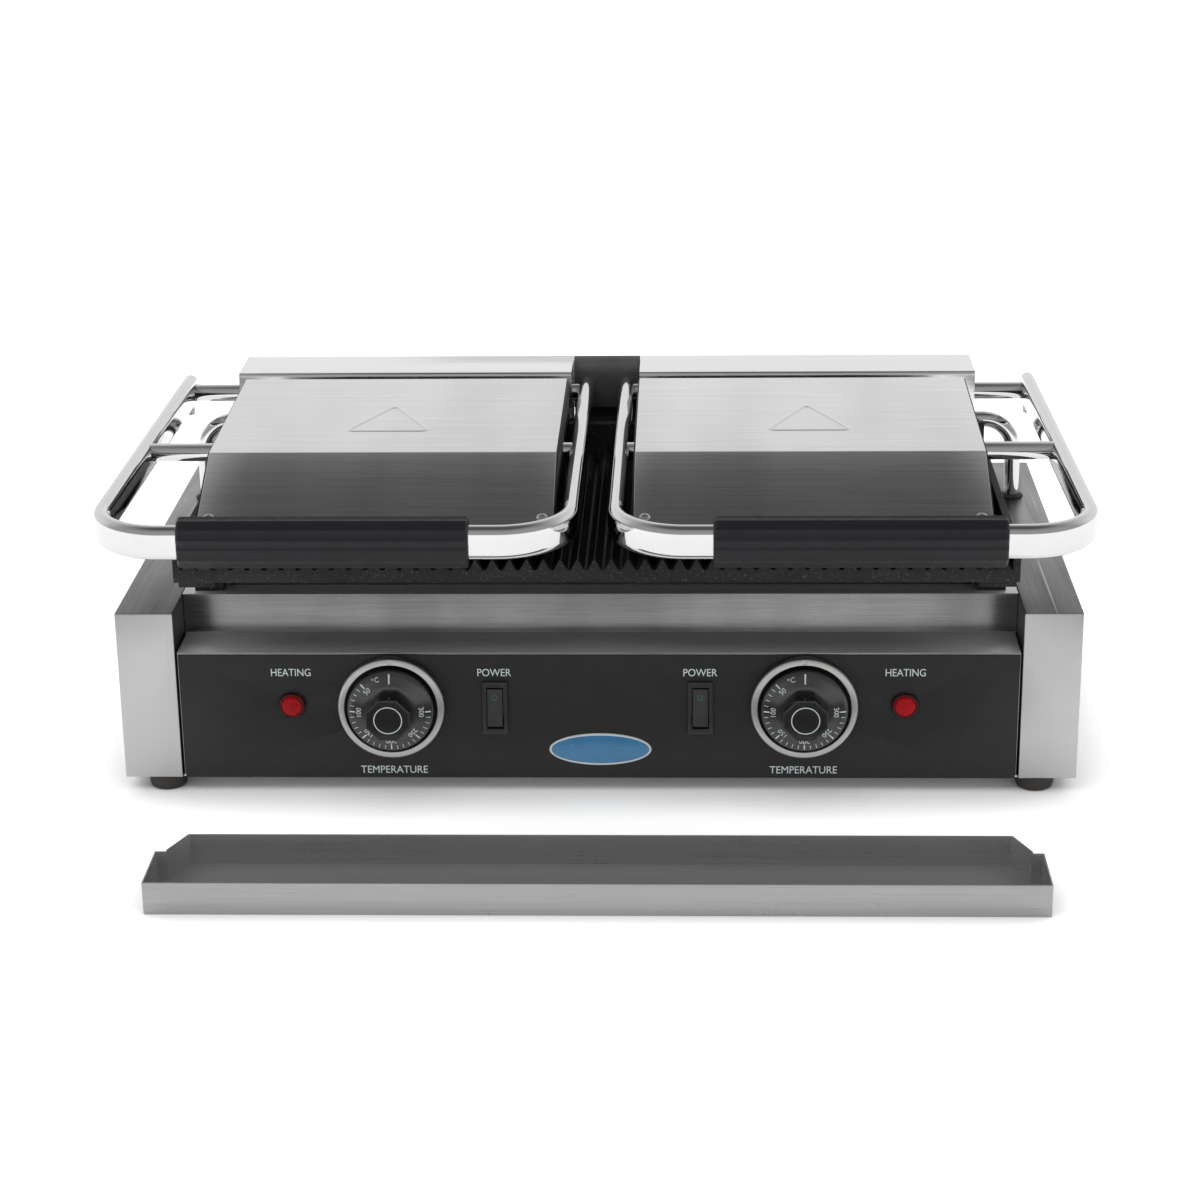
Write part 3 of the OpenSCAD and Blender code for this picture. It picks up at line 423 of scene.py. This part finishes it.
class Mesh:
    """Collects points in millimetres, and faces."""

    def __init__(self):
        self.points = []
        self.faces = []

    def loft(self, rings, loop=False):
        """Skins a row of rings of equally many points, capped, or with the last joined to the first."""
        start = len(self.points)
        n = len(rings[0])
        for ring in rings:
            self.points.extend(Vector(p) for p in ring)
        pairs = [(i, i + 1) for i in range(len(rings) - 1)]
        if loop:
            pairs.append((len(rings) - 1, 0))
        for i, j in pairs:
            for k in range(n):
                m = (k + 1) % n
                corners = (i * n + k, i * n + m, j * n + m, j * n + k)
                self.faces.append([start + c for c in corners])
        if not loop:
            self.faces.append([start + k for k in range(n)][::-1])
            self.faces.append([start + (len(rings) - 1) * n + k for k in range(n)])
        return self

    def revolve(self, profile, place, segments, loop=False):
        """Turns (radius, height) points; place(radius, angle, height) gives the point."""
        rings = [[place(r, 2 * pi * k / segments, h) for k in range(segments)] for r, h in profile]
        return self.loft(rings, loop)

    def add_mirrored(self):
        """Adds the mesh's own mirror image on the other side."""
        start = len(self.points)
        self.points += [Vector((-p.x, p.y, p.z)) for p in self.points]
        self.faces += [[start + i for i in f] for f in self.faces]
        return self

    def build(self, name, material, body, side=1, stands_for=(), slot=None, bevel=0.0, angle=30):
        """Makes the piece; side -1 mirrors it to the left."""
        me = bpy.data.meshes.new(name)
        me.from_pydata([metres((p[0] * side, p[1], p[2])) for p in self.points], [], self.faces)
        bm = bmesh.new()
        bm.from_mesh(me)
        bmesh.ops.remove_doubles(bm, verts=bm.verts, dist=1e-6)
        bmesh.ops.dissolve_degenerate(bm, edges=bm.edges, dist=1e-7)
        bmesh.ops.recalc_face_normals(bm, faces=bm.faces)
        bm.to_mesh(me)
        bm.free()
        me.materials.append(mats[material])
        obj = bpy.data.objects.new(name, me)
        bpy.context.collection.objects.link(obj)
        if bevel:
            round_edges(obj, bevel, angle)
        smooth_by_angle(obj, angle)
        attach(obj, body)
        if stands_for:
            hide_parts(*stands_for)


def arc(cx, cy, r, a0, a1, n):
    """Points on an arc, angles in degrees."""
    return [(cx + r * cos(radians(a0 + (a1 - a0) * i / n)), cy + r * sin(radians(a0 + (a1 - a0) * i / n)))
            for i in range(n + 1)]


def fillet(points, radii, closed=False):
    """Rounds the corners of a 2-D line, with one radius or a list of them."""
    steps = 8
    out = []
    count = len(points)
    for i, p in enumerate(points):
        r = radii[i] if isinstance(radii, (list, tuple)) else radii
        if (not closed and i in (0, count - 1)) or r <= 0:
            out.append(tuple(p))
            continue
        a = Vector(points[i - 1]) - Vector(p)
        b = Vector(points[(i + 1) % count]) - Vector(p)
        a.normalize()
        b.normalize()
        half = a.angle(b) / 2
        reach = r / tan(half)
        centre = Vector(p) + (a + b).normalized() * (r / sin(half))
        start, end = Vector(p) + a * reach - centre, Vector(p) + b * reach - centre
        turn = start.angle_signed(end)
        for k in range(steps + 1):
            q = start.copy()
            q.rotate(Matrix.Rotation(-turn * k / steps, 2))
            out.append((centre.x + q.x, centre.y + q.y))
    return out


def offset_line(points, distance, closed=False):
    """Moves a 2-D line to its left by a distance."""
    out = []
    n = len(points)
    for i, p in enumerate(points):
        before = Vector(points[i - 1]) if closed or i else None
        after = Vector(points[(i + 1) % n]) if closed or i < n - 1 else None
        here = Vector(p)
        d = Vector((0, 0))
        if before is not None and (here - before).length > 1e-9:
            d += (here - before).normalized()
        if after is not None and (after - here).length > 1e-9:
            d += (after - here).normalized()
        d.normalize()
        out.append((p[0] - d.y * distance, p[1] + d.x * distance))
    return out


def flat_oval(width, height):
    """Outline of a flat oval, width across and height up."""
    r = width / 2
    steps = 12
    straight = (height - width) / 2
    top = [(x, y + straight) for x, y in arc(0, 0, r, 0, 180, steps)]
    bottom = [(x, y - straight) for x, y in arc(0, 0, r, 180, 360, steps)]
    return top + bottom


# ---------------------------------------------------------------- handles

axle_lo, axle_hi = node_box("right_axle")
AXLE = (axle_lo + axle_hi) / 2
TUBE_H, TUBE_T = 20.0, 10.0             # flat oval tube
ARM_IN, ARM_OUT = 13.0, 276.0           # X of the inner arm, and of the outer arm at its bend
BAR_Y = -66.0                           # the front bar's centre line
BEND = 40.0                             # centre-line radius of the front bends
SLOPE = radians(0.62)                   # the handle's drop towards the front
SPLAY = radians(1.15)                   # the outer arm's lean inwards towards the rear
TAIL = 6.0                              # how far the outer arm runs on behind the axle
GRIP_X0, GRIP_LEN, GRIP_H, GRIP_T = 68.0, 163.0, 30.0, 21.0
FLUTE_DEPTH, FLUTE_PITCH = 0.65, 5.8


def on_handle(x, y, z):
    """A point drawn flat through the axle, put on the sloping handle."""
    dy = y - AXLE.y
    return (x, AXLE.y + dy * cos(SLOPE) - z * sin(SLOPE), AXLE.z + dy * sin(SLOPE) + z * cos(SLOPE))


def outer_arm():
    """Centre of the outer bend, and the splayed arm's centre line as a function of the way from the bend."""
    front = BAR_Y + BEND
    bend_x = ARM_OUT - (BEND - (AXLE.y - front) * sin(SPLAY)) / cos(SPLAY)

    def at(t):
        return bend_x + BEND * cos(SPLAY) - t * sin(SPLAY), front + BEND * sin(SPLAY) + t * cos(SPLAY)
    return bend_x, at


def handle_path():
    """Centre line from the inner arm's rear end round to the outer arm's: (x, y, nx, ny, height scale)."""
    front = BAR_Y + BEND
    half = TUBE_H / 2
    tips = [(half * sin(radians(t)), cos(radians(t))) for t in (89, 84, 76, 66, 54, 40, 27, 13, 0)]
    bend_x, at = outer_arm()
    path = [(ARM_IN, AXLE.y + past, 1, 0, s) for past, s in tips]
    along_arm, steps = 12, 24
    path += [(ARM_IN, AXLE.y + (front - AXLE.y) * k / along_arm, 1, 0, 1) for k in range(1, along_arm)]
    for k in range(steps + 1):
        a = pi + pi / 2 * k / steps
        path.append((ARM_IN + BEND + BEND * cos(a), front + BEND * sin(a), -cos(a), -sin(a), 1))
    for k in range(steps + 1):
        a = 1.5 * pi + (pi / 2 + SPLAY) * k / steps
        path.append((bend_x + BEND * cos(a), front + BEND * sin(a), -cos(a), -sin(a), 1))
    length = AXLE.y + TAIL - front
    normal = (-cos(SPLAY), -sin(SPLAY))
    path += [(*at(length * k / along_arm), *normal, 1) for k in range(1, along_arm)]
    path += [(*at(length + past), *normal, s) for past, s in reversed(tips)]
    return path


def handle_tube():
    """Flat oval tube swept along the handle, with rounded ends."""
    outline = flat_oval(TUBE_T, TUBE_H)
    return Mesh().loft([[on_handle(x + a * nx, y + a * ny, b * s) for a, b in outline]
                        for x, y, nx, ny, s in handle_path()])


def fluted_outline(width, height, depth, pitch, n):
    """Flat oval with shallow flutes all round."""
    r = width / 2
    straight = height - width
    around = 2 * straight + 2 * pi * r
    flutes = round(around / pitch)
    points = []
    for i in range(n):
        s = around * i / n
        d = -depth * abs(sin(pi * flutes * s / around)) ** 0.8
        if s < straight:
            p, nrm = (r, -straight / 2 + s), (1, 0)
        elif s < straight + pi * r:
            a = (s - straight) / r
            p, nrm = (r * cos(a), straight / 2 + r * sin(a)), (cos(a), sin(a))
        elif s < 2 * straight + pi * r:
            p, nrm = (-r, straight / 2 - (s - straight - pi * r)), (-1, 0)
        else:
            a = pi + (s - 2 * straight - pi * r) / r
            p, nrm = (r * cos(a), -straight / 2 + r * sin(a)), (cos(a), sin(a))
        points.append((p[0] + nrm[0] * d, p[1] + nrm[1] * d, nrm))
    return points


def grip():
    """Fluted sleeve with rounded ends and a mouth round the tube."""
    outline = fluted_outline(GRIP_T, GRIP_H, FLUTE_DEPTH, FLUTE_PITCH, 240)
    edge = 2.2                          # rounding of the sleeve's ends

    def ring(x, inset):
        return [on_handle(x, BAR_Y + a - nrm[0] * inset, b - nrm[1] * inset) for a, b, nrm in outline]

    def mouth(x, gap):
        ratio_a, ratio_b = (TUBE_T + gap) / GRIP_T, (TUBE_H + gap) / GRIP_H
        return [on_handle(x, BAR_Y + a * ratio_a, b * ratio_b) for a, b, nrm in outline]

    x0, x1 = GRIP_X0, GRIP_X0 + GRIP_LEN
    steps = [(edge * (1 - cos(t)), edge * (1 - sin(t))) for t in (radians(15 * k) for k in range(7))]
    rings = [mouth(x0 + 2, 0.6), mouth(x0 + 0.1, 1.2)]
    rings += [ring(x0 + dx, inset) for dx, inset in steps]
    rings += [ring(x0 + edge + (GRIP_LEN - 2 * edge) * k / 6, 0) for k in range(1, 6)]
    rings += [ring(x1 - dx, inset) for dx, inset in reversed(steps)]
    rings += [mouth(x1 - 0.1, 1.2), mouth(x1 - 2, 0.6)]
    return Mesh().loft(rings)


for side, s in SIDES:
    body = side + "_handle"
    handle_tube().build(side + "_tube", "chrome", body, s, [side + "_handle_tube"], "chrome", angle=40)
    grip().build(side + "_sleeve", "grip", body, s, [side + "_grip"], "grip_plastic", angle=50)
    for node in ("_axle", "_lid_rod"):
        finish_node(side + node, "chrome", 0.3)
    finish_node(side + "_set_bolts", "zinc", 0.2)


# ---------------------------------------------------------------- lids

lid_lo, lid_hi = node_box("right_lid_cover")
# Corners of the lid's profile, each (Y, Z)
LID_REAR, LID_FOLD, LID_NOSE = (172.5, 210.0), (25.0, 205.7), (lid_lo.y, lid_lo.z)
FLANGE_Z = 190.0
REAR_BEND, FOLD_BEND = 2.6, 3.2
COVER_T = 1.2


def lid_cover():
    """Folded sheet: rear flange, flat top and front slope, with real bend radii."""
    outer = fillet([(LID_REAR[0], FLANGE_Z), LID_REAR, LID_FOLD, LID_NOSE], [0, REAR_BEND, FOLD_BEND, 0])
    inner = offset_line(outer, COVER_T)
    outline = outer + inner[::-1]
    spans = [lid_lo.x + (lid_hi.x - lid_lo.x) * k / 8 for k in range(9)]
    return Mesh().loft([[(x, y, z) for y, z in outline] for x in spans])


def lid_top_z(y):
    """Height of the lid's top at a Y."""
    return LID_FOLD[1] + (y - LID_FOLD[0]) * (LID_REAR[1] - LID_FOLD[1]) / (LID_REAR[0] - LID_FOLD[0])


def emboss():
    """Raised triangular outline pressed into the lid's top."""
    cx = (lid_lo.x + lid_hi.x) / 2 + 1
    half_base, base_y, tip_y = 25, 64.5, 114
    width, height = 1.7, 0.42
    line = fillet([(cx - half_base, base_y), (cx + half_base, base_y), (cx, tip_y)], 3, closed=True)
    rise = [(-1, -0.3), (-1, 0), (-0.8, 0.12), (-0.55, 0.5), (-0.25, 0.9)]
    profile = rise + [(0, 1)] + [(-across, up) for across, up in reversed(rise)]
    lanes = []
    for across, up in profile:
        lane = offset_line(line, across * width, closed=True)
        lanes.append([(x, y, lid_top_z(y) + (up * height if up > 0 else up) + 0.02) for x, y in lane])
    return Mesh().loft(lanes, loop=True)


for side, s in SIDES:
    body = side + "_lid"
    lid_cover().build(side + "_lid_sheet", "lid", body, s, [side + "_lid_cover"], "brushed_steel", 0.2, 50)
    emboss().build(side + "_lid_emboss", "lid", body, s, slot="brushed_steel", angle=60)
    finish_node(side + "_upper_plate", "iron", 0.5)
    finish_node(side + "_upper_heater", "heater", 0.1)
    finish_node(side + "_lid_screws", "zinc", 0.15)
    finish_node(side + "_rod_bushes", "brass", 0.2)


# ---------------------------------------------------------------- base

for node, material, bevel in (
    ("base_shell", "recess", 0.5), ("bottom_cover", "zinc", 0.3), ("rear_panel", "steel_x", 0),
    ("control_panel", "panel", 0.3), ("feet", "rubber", 0.4), ("base_screws", "zinc", 0.15),
    ("lower_plate", "iron", 0.45), ("lower_heaters", "heater", 0.1), ("heater_pan", "pan", 0.3),
    ("hinge_brackets", "zinc", 0.3), ("hinge_bushes", "brass", 0.2), ("centre_cover", "cover", 0.4),
    ("lamp_bezels", "lamp_rim", 0.2), ("terminal_block", "ceramic", 0.5), ("cable_gland", "switch", 0.5),
    ("drip_tray", "tray", 0.3),
):
    finish_node(node, material, bevel)

for node, material, bevel in (
    ("_side_housing", "housing", 0.9), ("_hinge_cover", "hinge", 0.5), ("_spring", "zinc", 0),
    ("_thermostat", "zinc", 0.3), ("_bezel", "ring", 0.25), ("_switch_frame", "switch", 0.5),
    ("_rocker", "switch", 0.45), ("_knob_shaft", "zinc", 0.3),
):
    for side, _ in SIDES:
        finish_node(side + node, material, bevel)


# ---------------------------------------------------------------- conduits

conduit_lo, conduit_hi = node_box("right_conduit")
CONDUIT_R = (conduit_hi.y - conduit_lo.y) / 2
CONDUIT_X = conduit_hi.x - CONDUIT_R
CONDUIT_Y = (conduit_lo.y + conduit_hi.y) / 2
HOUSING_TOP = housing_hi.z / MM


def conduit():
    """Bent tube from the housing's top into the side of the hinge cover."""
    x, y, top, r, bend = CONDUIT_X, CONDUIT_Y, conduit_hi.z - CONDUIT_R, CONDUIT_R, 20.0
    foot = HOUSING_TOP - 3
    inner_x = node_box("right_hinge_cover")[1].x - 5
    path = [(x, foot + (top - bend - foot) * k / 6, 1, 0) for k in range(7)]
    path += [(x - bend + bend * cos(a), top - bend + bend * sin(a), cos(a), sin(a))
             for a in (pi / 2 * k / 20 for k in range(1, 21))]
    path += [(inner_x, top, 0, 1)]
    rings = [[(px + r * cos(a) * nx, y + r * sin(a), pz + r * cos(a) * nz)
              for a in (2 * pi * k / 40 for k in range(40))] for px, pz, nx, nz in path]
    return Mesh().loft(rings)


def grommet(x, y, z, r):
    """Moulded rubber grommet with a rolled lip."""
    profile = [(r + 0.02, -3), (r + 1.5, -3), (r + 1.5, 0), (r + 3, 0)]
    profile += [(r + 2.5 + 0.5 * cos(t), 0.5 + 0.5 * sin(t)) for t in (pi / 2 * k / 4 for k in range(5))]
    profile += [(r + 1.5, 1.3), (r + 0.9, 1.8), (r + 0.5, 2), (r + 0.02, 1.9)]
    return Mesh().revolve(profile, lambda q, a, h: (x + q * cos(a), y + q * sin(a), z + h), 48, loop=True)


for side, s in SIDES:
    conduit().build(side + "_conduit_tube", "chrome", "base", s, [side + "_conduit"], "chrome", angle=40)
seals = grommet(CONDUIT_X, CONDUIT_Y, HOUSING_TOP, CONDUIT_R).add_mirrored()
seals.build("conduit_seals", "rubber", "base", 1, ["conduit_grommets"], "rubber", angle=40)


# ---------------------------------------------------------------- knobs, lamps, labels

BOSS_FRONT, BOSS_FLATS = 24.5, 26.0
SKIRT_R = 25.6                          # the skirt's outer radius
DISH_R, DISH_Y = (24.8, 15.0), (-9.5, -12.0)    # the skirt's sloping front, from its rim to the boss


def skirt_y(r):
    """Front of the knob's skirt at a radius."""
    return DISH_Y[0] + (DISH_R[0] - r) * (DISH_Y[1] - DISH_Y[0]) / (DISH_R[0] - DISH_R[1])


def knob_skirt():
    """Hub, and the wide dished skirt that carries the scale."""
    hub_r, hub_back, skirt_back = 14, -1, -6.6
    profile = [(0.5, hub_back), (hub_r, hub_back), (hub_r, skirt_back), (SKIRT_R - 0.4, skirt_back),
               (SKIRT_R, -7), (SKIRT_R, -8.6), (SKIRT_R - 0.3, -9.2)]
    profile += [(r, skirt_y(r)) for r in (DISH_R[0], 22, 19.5, 17, DISH_R[1])]
    profile += [(12, DISH_Y[1]), (0.5, DISH_Y[1])]
    return Mesh().revolve(profile, lambda r, a, h: (KNOB.x + r * cos(a), h, KNOB.z + r * sin(a)), 128)


def knob_boss():
    """Octagonal boss with a chamfered, slightly dished front."""
    def ring(inset, y):
        corner = (BOSS_FLATS - inset) / 2 / cos(pi / 8)
        turns = [pi / 8 + pi / 4 * k for k in range(8)]
        return [(KNOB.x + corner * cos(a), y, KNOB.z + corner * sin(a)) for a in turns]

    front = -BOSS_FRONT
    steps = ((0, -11), (0, front + 0.5), (0.9, front), (1.8, front), (2.4, front + 0.25))
    return Mesh().loft([ring(inset, y) for inset, y in steps])


def text_mesh(word, width, height):
    """Flat letters centred on zero: (points, faces), stretched to width and height."""
    curve = bpy.data.curves.new("word", "FONT")
    curve.body = word
    curve.resolution_u = 4
    holder = bpy.data.objects.new("word", curve)
    bpy.context.collection.objects.link(holder)
    bpy.context.view_layer.update()
    me = bpy.data.meshes.new_from_object(holder.evaluated_get(bpy.context.evaluated_depsgraph_get()))
    bpy.data.objects.remove(holder)
    points = [(v.co.x, v.co.y) for v in me.vertices]
    faces = [list(p.vertices) for p in me.polygons]
    bpy.data.meshes.remove(me)
    xs, ys = [p[0] for p in points], [p[1] for p in points]
    wide, high = max(xs) - min(xs), max(ys) - min(ys)
    kx = width / wide if width else height / high
    ky = height / high
    cx, cy = (max(xs) + min(xs)) / 2, (max(ys) + min(ys)) / 2
    return [((x - cx) * kx, (y - cy) * ky) for x, y in points], faces


def lay(mesh, points, faces, place, thickness=0.06):
    """Adds flat artwork as a thin skin: place(u, v, height) gives the point in space."""
    bm = bmesh.new()
    verts = [bm.verts.new((u, v, 0)) for u, v in points]
    for f in faces:
        try:
            bm.faces.new([verts[i] for i in f])
        except ValueError:
            pass
    bmesh.ops.remove_doubles(bm, verts=bm.verts, dist=1e-5)
    made = bmesh.ops.extrude_face_region(bm, geom=bm.faces[:])
    for v in made["geom"]:
        if isinstance(v, bmesh.types.BMVert):
            v.co.z = thickness
    bm.verts.index_update()
    start = len(mesh.points)
    mesh.points += [Vector(place(v.co.x, v.co.y, v.co.z)) for v in bm.verts]
    mesh.faces += [[start + v.index for v in f.verts] for f in bm.faces]
    bm.free()


def strip(u0, u1, v0, v1):
    """Artwork of one rectangle."""
    return [(u0, v0), (u1, v0), (u1, v1), (u0, v1)], [[0, 1, 2, 3]]


def ellipse(a, b, n=96):
    """Points round an ellipse, from its half axes."""
    return [(a * cos(2 * pi * k / n), b * sin(2 * pi * k / n)) for k in range(n)]


def ring_art(radius, width, n=64):
    """Artwork of one ring."""
    points = [p for r in (radius - width / 2, radius + width / 2) for p in ellipse(r, r, n)]
    return points, [[k, (k + 1) % n, n + (k + 1) % n, n + k] for k in range(n)]


def on_skirt(side, angle, radius):
    """Maps artwork (u clockwise, v outwards) to the skirt, at an angle anticlockwise from the top."""
    def place(u, v, h):
        r = radius + v
        a = radians(angle) - u / radius
        return (side * KNOB.x - r * sin(a), skirt_y(r) - 0.03 - h, KNOB.z + r * cos(a))
    return place


def knob_print(side):
    """Zero mark, scale from 50 to 300 in tens with a number at each fifty, and a ring on the boss."""
    mark_r, number_r, zero_r, unit_r, unit_angle, boss_ring_r = 24.2, 18.7, 20.8, 21.6, 22, 8.2
    first, last, first_angle, turn_per_degree = 50, 300, 45, 45 / 50
    mesh = Mesh()
    lay(mesh, *strip(-0.45, 0.45, -3.0, 3.0), on_skirt(side, 0, zero_r))
    for degrees_c in range(first, last + 1, 10):
        angle = first_angle + (degrees_c - first) * turn_per_degree
        major = degrees_c % 50 == 0
        length, half = (3.4, 0.42) if major else (2.5, 0.2)
        lay(mesh, *strip(-half, half, -length, 0), on_skirt(side, angle, mark_r))
        if major:
            lay(mesh, *text_mesh(str(degrees_c), None, 3.0), on_skirt(side, angle, number_r))
    lay(mesh, *text_mesh("°C", None, 3.1), on_skirt(side, unit_angle, unit_r))
    lay(mesh, *ring_art(boss_ring_r, 0.55),
        lambda u, v, h: (side * KNOB.x + u, -BOSS_FRONT + 0.22 - h, KNOB.z + v))
    return mesh


for side, s in SIDES:
    body = side + "_dial"
    knob_skirt().build(side + "_knob_skirt", "skirt", body, s, (), "knob_plastic", angle=35)
    knob_boss().build(side + "_knob_boss", "knob", body, s, [side + "_knob"], "knob_plastic", 0.3, 20)
    knob_print(s).build(side + "_knob_print", "print", body)


LABEL_H = 4.7
TOP_LABEL_Z, LOW_LABEL_Z = 76.8, 14.4
HEATING_X, POWER_X = 182, 61
PANEL_Y = 0.28                          # just in front of the control panel's face


def on_panel(x, z):
    """Maps artwork to the control panel, centred at a place."""
    return lambda u, v, h: (x + u, PANEL_Y - h, z + v)


labels = Mesh()
for side, s in SIDES:
    for word, width, x, z in (("HEATING", 23.6, HEATING_X, TOP_LABEL_Z), ("POWER", 20, POWER_X, TOP_LABEL_Z),
                              ("TEMPERATURE", 40.2, KNOB.x, LOW_LABEL_Z)):
        lay(labels, *text_mesh(word, width, LABEL_H), on_panel(s * x, z))
labels.build("panel_labels", "print", "base")


def badge():
    """Plain domed oval plate with a lighter rim."""
    cx, cz = 1.4, 27.8
    rim = ((30.5, 10.2, 0.3), (30.5, 10.2, -0.2), (30.2, 9.9, -0.5), (29.5, 9.2, -0.55), (29.2, 8.9, -0.4))
    plate = ((29.3, 9.0, -0.3), (29.2, 8.9, -0.5), (24, 7.3, -0.72), (16, 4.9, -0.88), (8, 2.4, -0.96))
    for name, material, steps in (("badge_rim", "badge_rim", rim), ("badge_plate", "badge", plate)):
        rings = [[(cx + x, y, cz + z) for x, z in ellipse(a, b)] for a, b, y in steps]
        Mesh().loft(rings).build(name, material, "base", angle=50)


badge()


def lamp_lens():
    """Domed lens with a moulded grid of small pyramids."""
    lo, hi = node_box("lamp_lenses")
    bezel_r = 8
    centre_x, centre_z = node_box("lamp_bezels")[1].x - bezel_r, (lo.z + hi.z) / 2
    cell, peak_h = 1.7, 0.28
    flank_r, dome_r, crown_y = 5.2, 6.3, -3.4

    def dome(x, z):
        r = hypot(x, z)
        edge = max(0.0, (r - flank_r) / 1.2)
        u, v = (x / cell) % 1, (z / cell) % 1
        peak = peak_h * (1 - max(abs(2 * u - 1), abs(2 * v - 1)))
        return crown_y + (r / 6.4) ** 2 + edge ** 2 - peak * (1 - min(1, edge * 1.5))

    segments, steps = 120, 27
    rings = [[(x, y, z) for x, z in ellipse(r, r, segments)]
             for r, y in ((5.4, -0.1), (6.35, -0.1), (6.35, -1.2))]
    for i in range(steps, 0, -1):
        r = dome_r * i / steps
        rings.append([(x, dome(x, z), z) for x, z in ellipse(r, r, segments)])
    return Mesh().loft([[(centre_x + x, y, centre_z + z) for x, y, z in ring] for ring in rings])


lamp_lens().add_mirrored().build("lamp_domes", "lens", "base", 1, ["lamp_lenses"], "lamp_red", angle=20)


def switch_mark(s):
    """Small printed ring on the rocker's upper half."""
    lo, hi = node_box("right_rocker")
    cx, cz = (lo.x + hi.x) / 2, (lo.z + hi.z) / 2
    tilt = radians(8)                   # the rocker's lean at rest, about its pivot
    pivot_y, face_y, face_slope = 3.0, -3.6, 2.4 / 13.7
    mark_z = 6.0

    def place(u, v, h):
        z = v + mark_z
        y = face_y - z * face_slope - 0.05 - h
        return s * cx + u, pivot_y + y * cos(tilt) + z * sin(tilt), cz - y * sin(tilt) + z * cos(tilt)

    mesh = Mesh()
    lay(mesh, *ring_art(1.5, 0.55, 32), place)
    return mesh


for side, s in SIDES:
    switch_mark(s).build(side + "_rocker_mark", "green", side + "_switch")


# ---------------------------------------------------------------- floor and light

def make_stage():
    """Plain white floor with a soft contact shade."""
    s = Shader("floor_white", Roughness=0.9, Emission_Color=(1, 1, 1, 1))
    # the glow grows with the distance, so that the floor stays white where the lights fade
    reach = s.add("ShaderNodeVectorMath", operation="LENGTH")
    s.link(s.coord, reach.inputs[0])
    contact = s.add("ShaderNodeAmbientOcclusion", samples=8)
    contact.inputs["Distance"].default_value = 0.045
    shade = s.math("POWER", contact.outputs["AO"], 1.5)
    near, far = (0.6, 0.57), (3.2, 0.98)    # each a distance and the glow there
    glow = s.math("MULTIPLY", s.spread(reach.outputs["Value"], near[1], far[1], (near[0], far[0])), shade)
    s.link(glow, s.bsdf.inputs["Emission Strength"])
    s.colour(s.mix(s.spread(s.noise(0.8), 0, 1), (0.86, 0.86, 0.86), (0.88, 0.88, 0.88)))
    half = 30
    me = bpy.data.meshes.new("floor")
    corners = [(-half, -half, 0), (half, -half, 0), (half, half, 0), (-half, half, 0)]
    me.from_pydata(corners, [], [[0, 1, 2, 3]])
    me.materials.append(s.material)
    floor = bpy.data.objects.new("floor", me)
    bpy.context.collection.objects.link(floor)


def softbox(name, azimuth, elevation, distance, size, power):
    """Area light aimed at the object; azimuth 0 is in front, and angles are in degrees."""
    target = Vector((0, 0, 0.1))
    data = bpy.data.lights.new(name, "AREA")
    data.shape = "RECTANGLE"
    data.size, data.size_y = size
    data.energy = power
    lamp = bpy.data.objects.new(name, data)
    a, e = radians(azimuth), radians(elevation)
    out = Vector((sin(a) * cos(e), -cos(a) * cos(e), sin(e)))
    lamp.location = target + out * distance
    lamp.rotation_mode = "QUATERNION"
    lamp.rotation_quaternion = out.to_track_quat("Z", "Y")
    lamp.visible_glossy = False
    bpy.context.collection.objects.link(lamp)


def make_world():
    """Bright band along the horizon, tall behind the object and low in front, under a dim room."""
    world = bpy.data.worlds.new("studio")
    bpy.context.scene.world = world
    world.use_nodes = True
    tree = world.node_tree
    tree.nodes.clear()
    out = tree.nodes.new("ShaderNodeOutputWorld")
    background = tree.nodes.new("ShaderNodeBackground")
    coord = tree.nodes.new("ShaderNodeTexCoord")
    split = tree.nodes.new("ShaderNodeSeparateXYZ")
    tree.links.new(coord.outputs["Generated"], split.inputs[0])

    def ramp(stops):
        """Grey by the sine of the elevation: each stop is (sine, grey)."""
        n = tree.nodes.new("ShaderNodeValToRGB")
        tree.links.new(split.outputs[2], n.inputs[0])
        elements = n.color_ramp.elements
        elements[0].position, elements[1].position = stops[0][0], stops[-1][0]
        for position, _ in stops[1:-1]:
            elements.new(position)
        for element, (_, grey) in zip(elements, stops):
            element.color = (grey, grey, grey, 1)
        return n.outputs[0]

    side = tree.nodes.new("ShaderNodeMapRange")
    side.interpolation_type = "SMOOTHSTEP"
    side.inputs["From Min"].default_value, side.inputs["From Max"].default_value = -0.15, 0.5
    tree.links.new(split.outputs[1], side.inputs["Value"])
    mix = tree.nodes.new("ShaderNodeMix")
    mix.data_type = "RGBA"
    tree.links.new(side.outputs[0], mix.inputs[0])
    front = ((0.0, 1.0), (0.05, 0.95), (0.10, 0.50), (0.20, 0.42), (0.60, 0.42), (0.85, 0.30), (0.95, 0.12),
             (1.0, 0.10))
    back = ((0.0, 1.0), (0.42, 0.93), (0.60, 0.78), (0.80, 0.48), (0.93, 0.15), (1.0, 0.12))
    tree.links.new(ramp(front), mix.inputs[6])
    tree.links.new(ramp(back), mix.inputs[7])
    tree.links.new(mix.outputs[2], background.inputs[0])
    tree.links.new(background.outputs[0], out.inputs[0])


make_stage()
make_world()
softbox("light_front", -12, 60, 2.6, (2.2, 1.4), 22)
softbox("light_left", -100, 45, 2.4, (1.2, 1.2), 10)
softbox("light_right", 100, 45, 2.4, (1.2, 1.2), 10)
bpy.context.scene.view_settings.view_transform = "Standard"
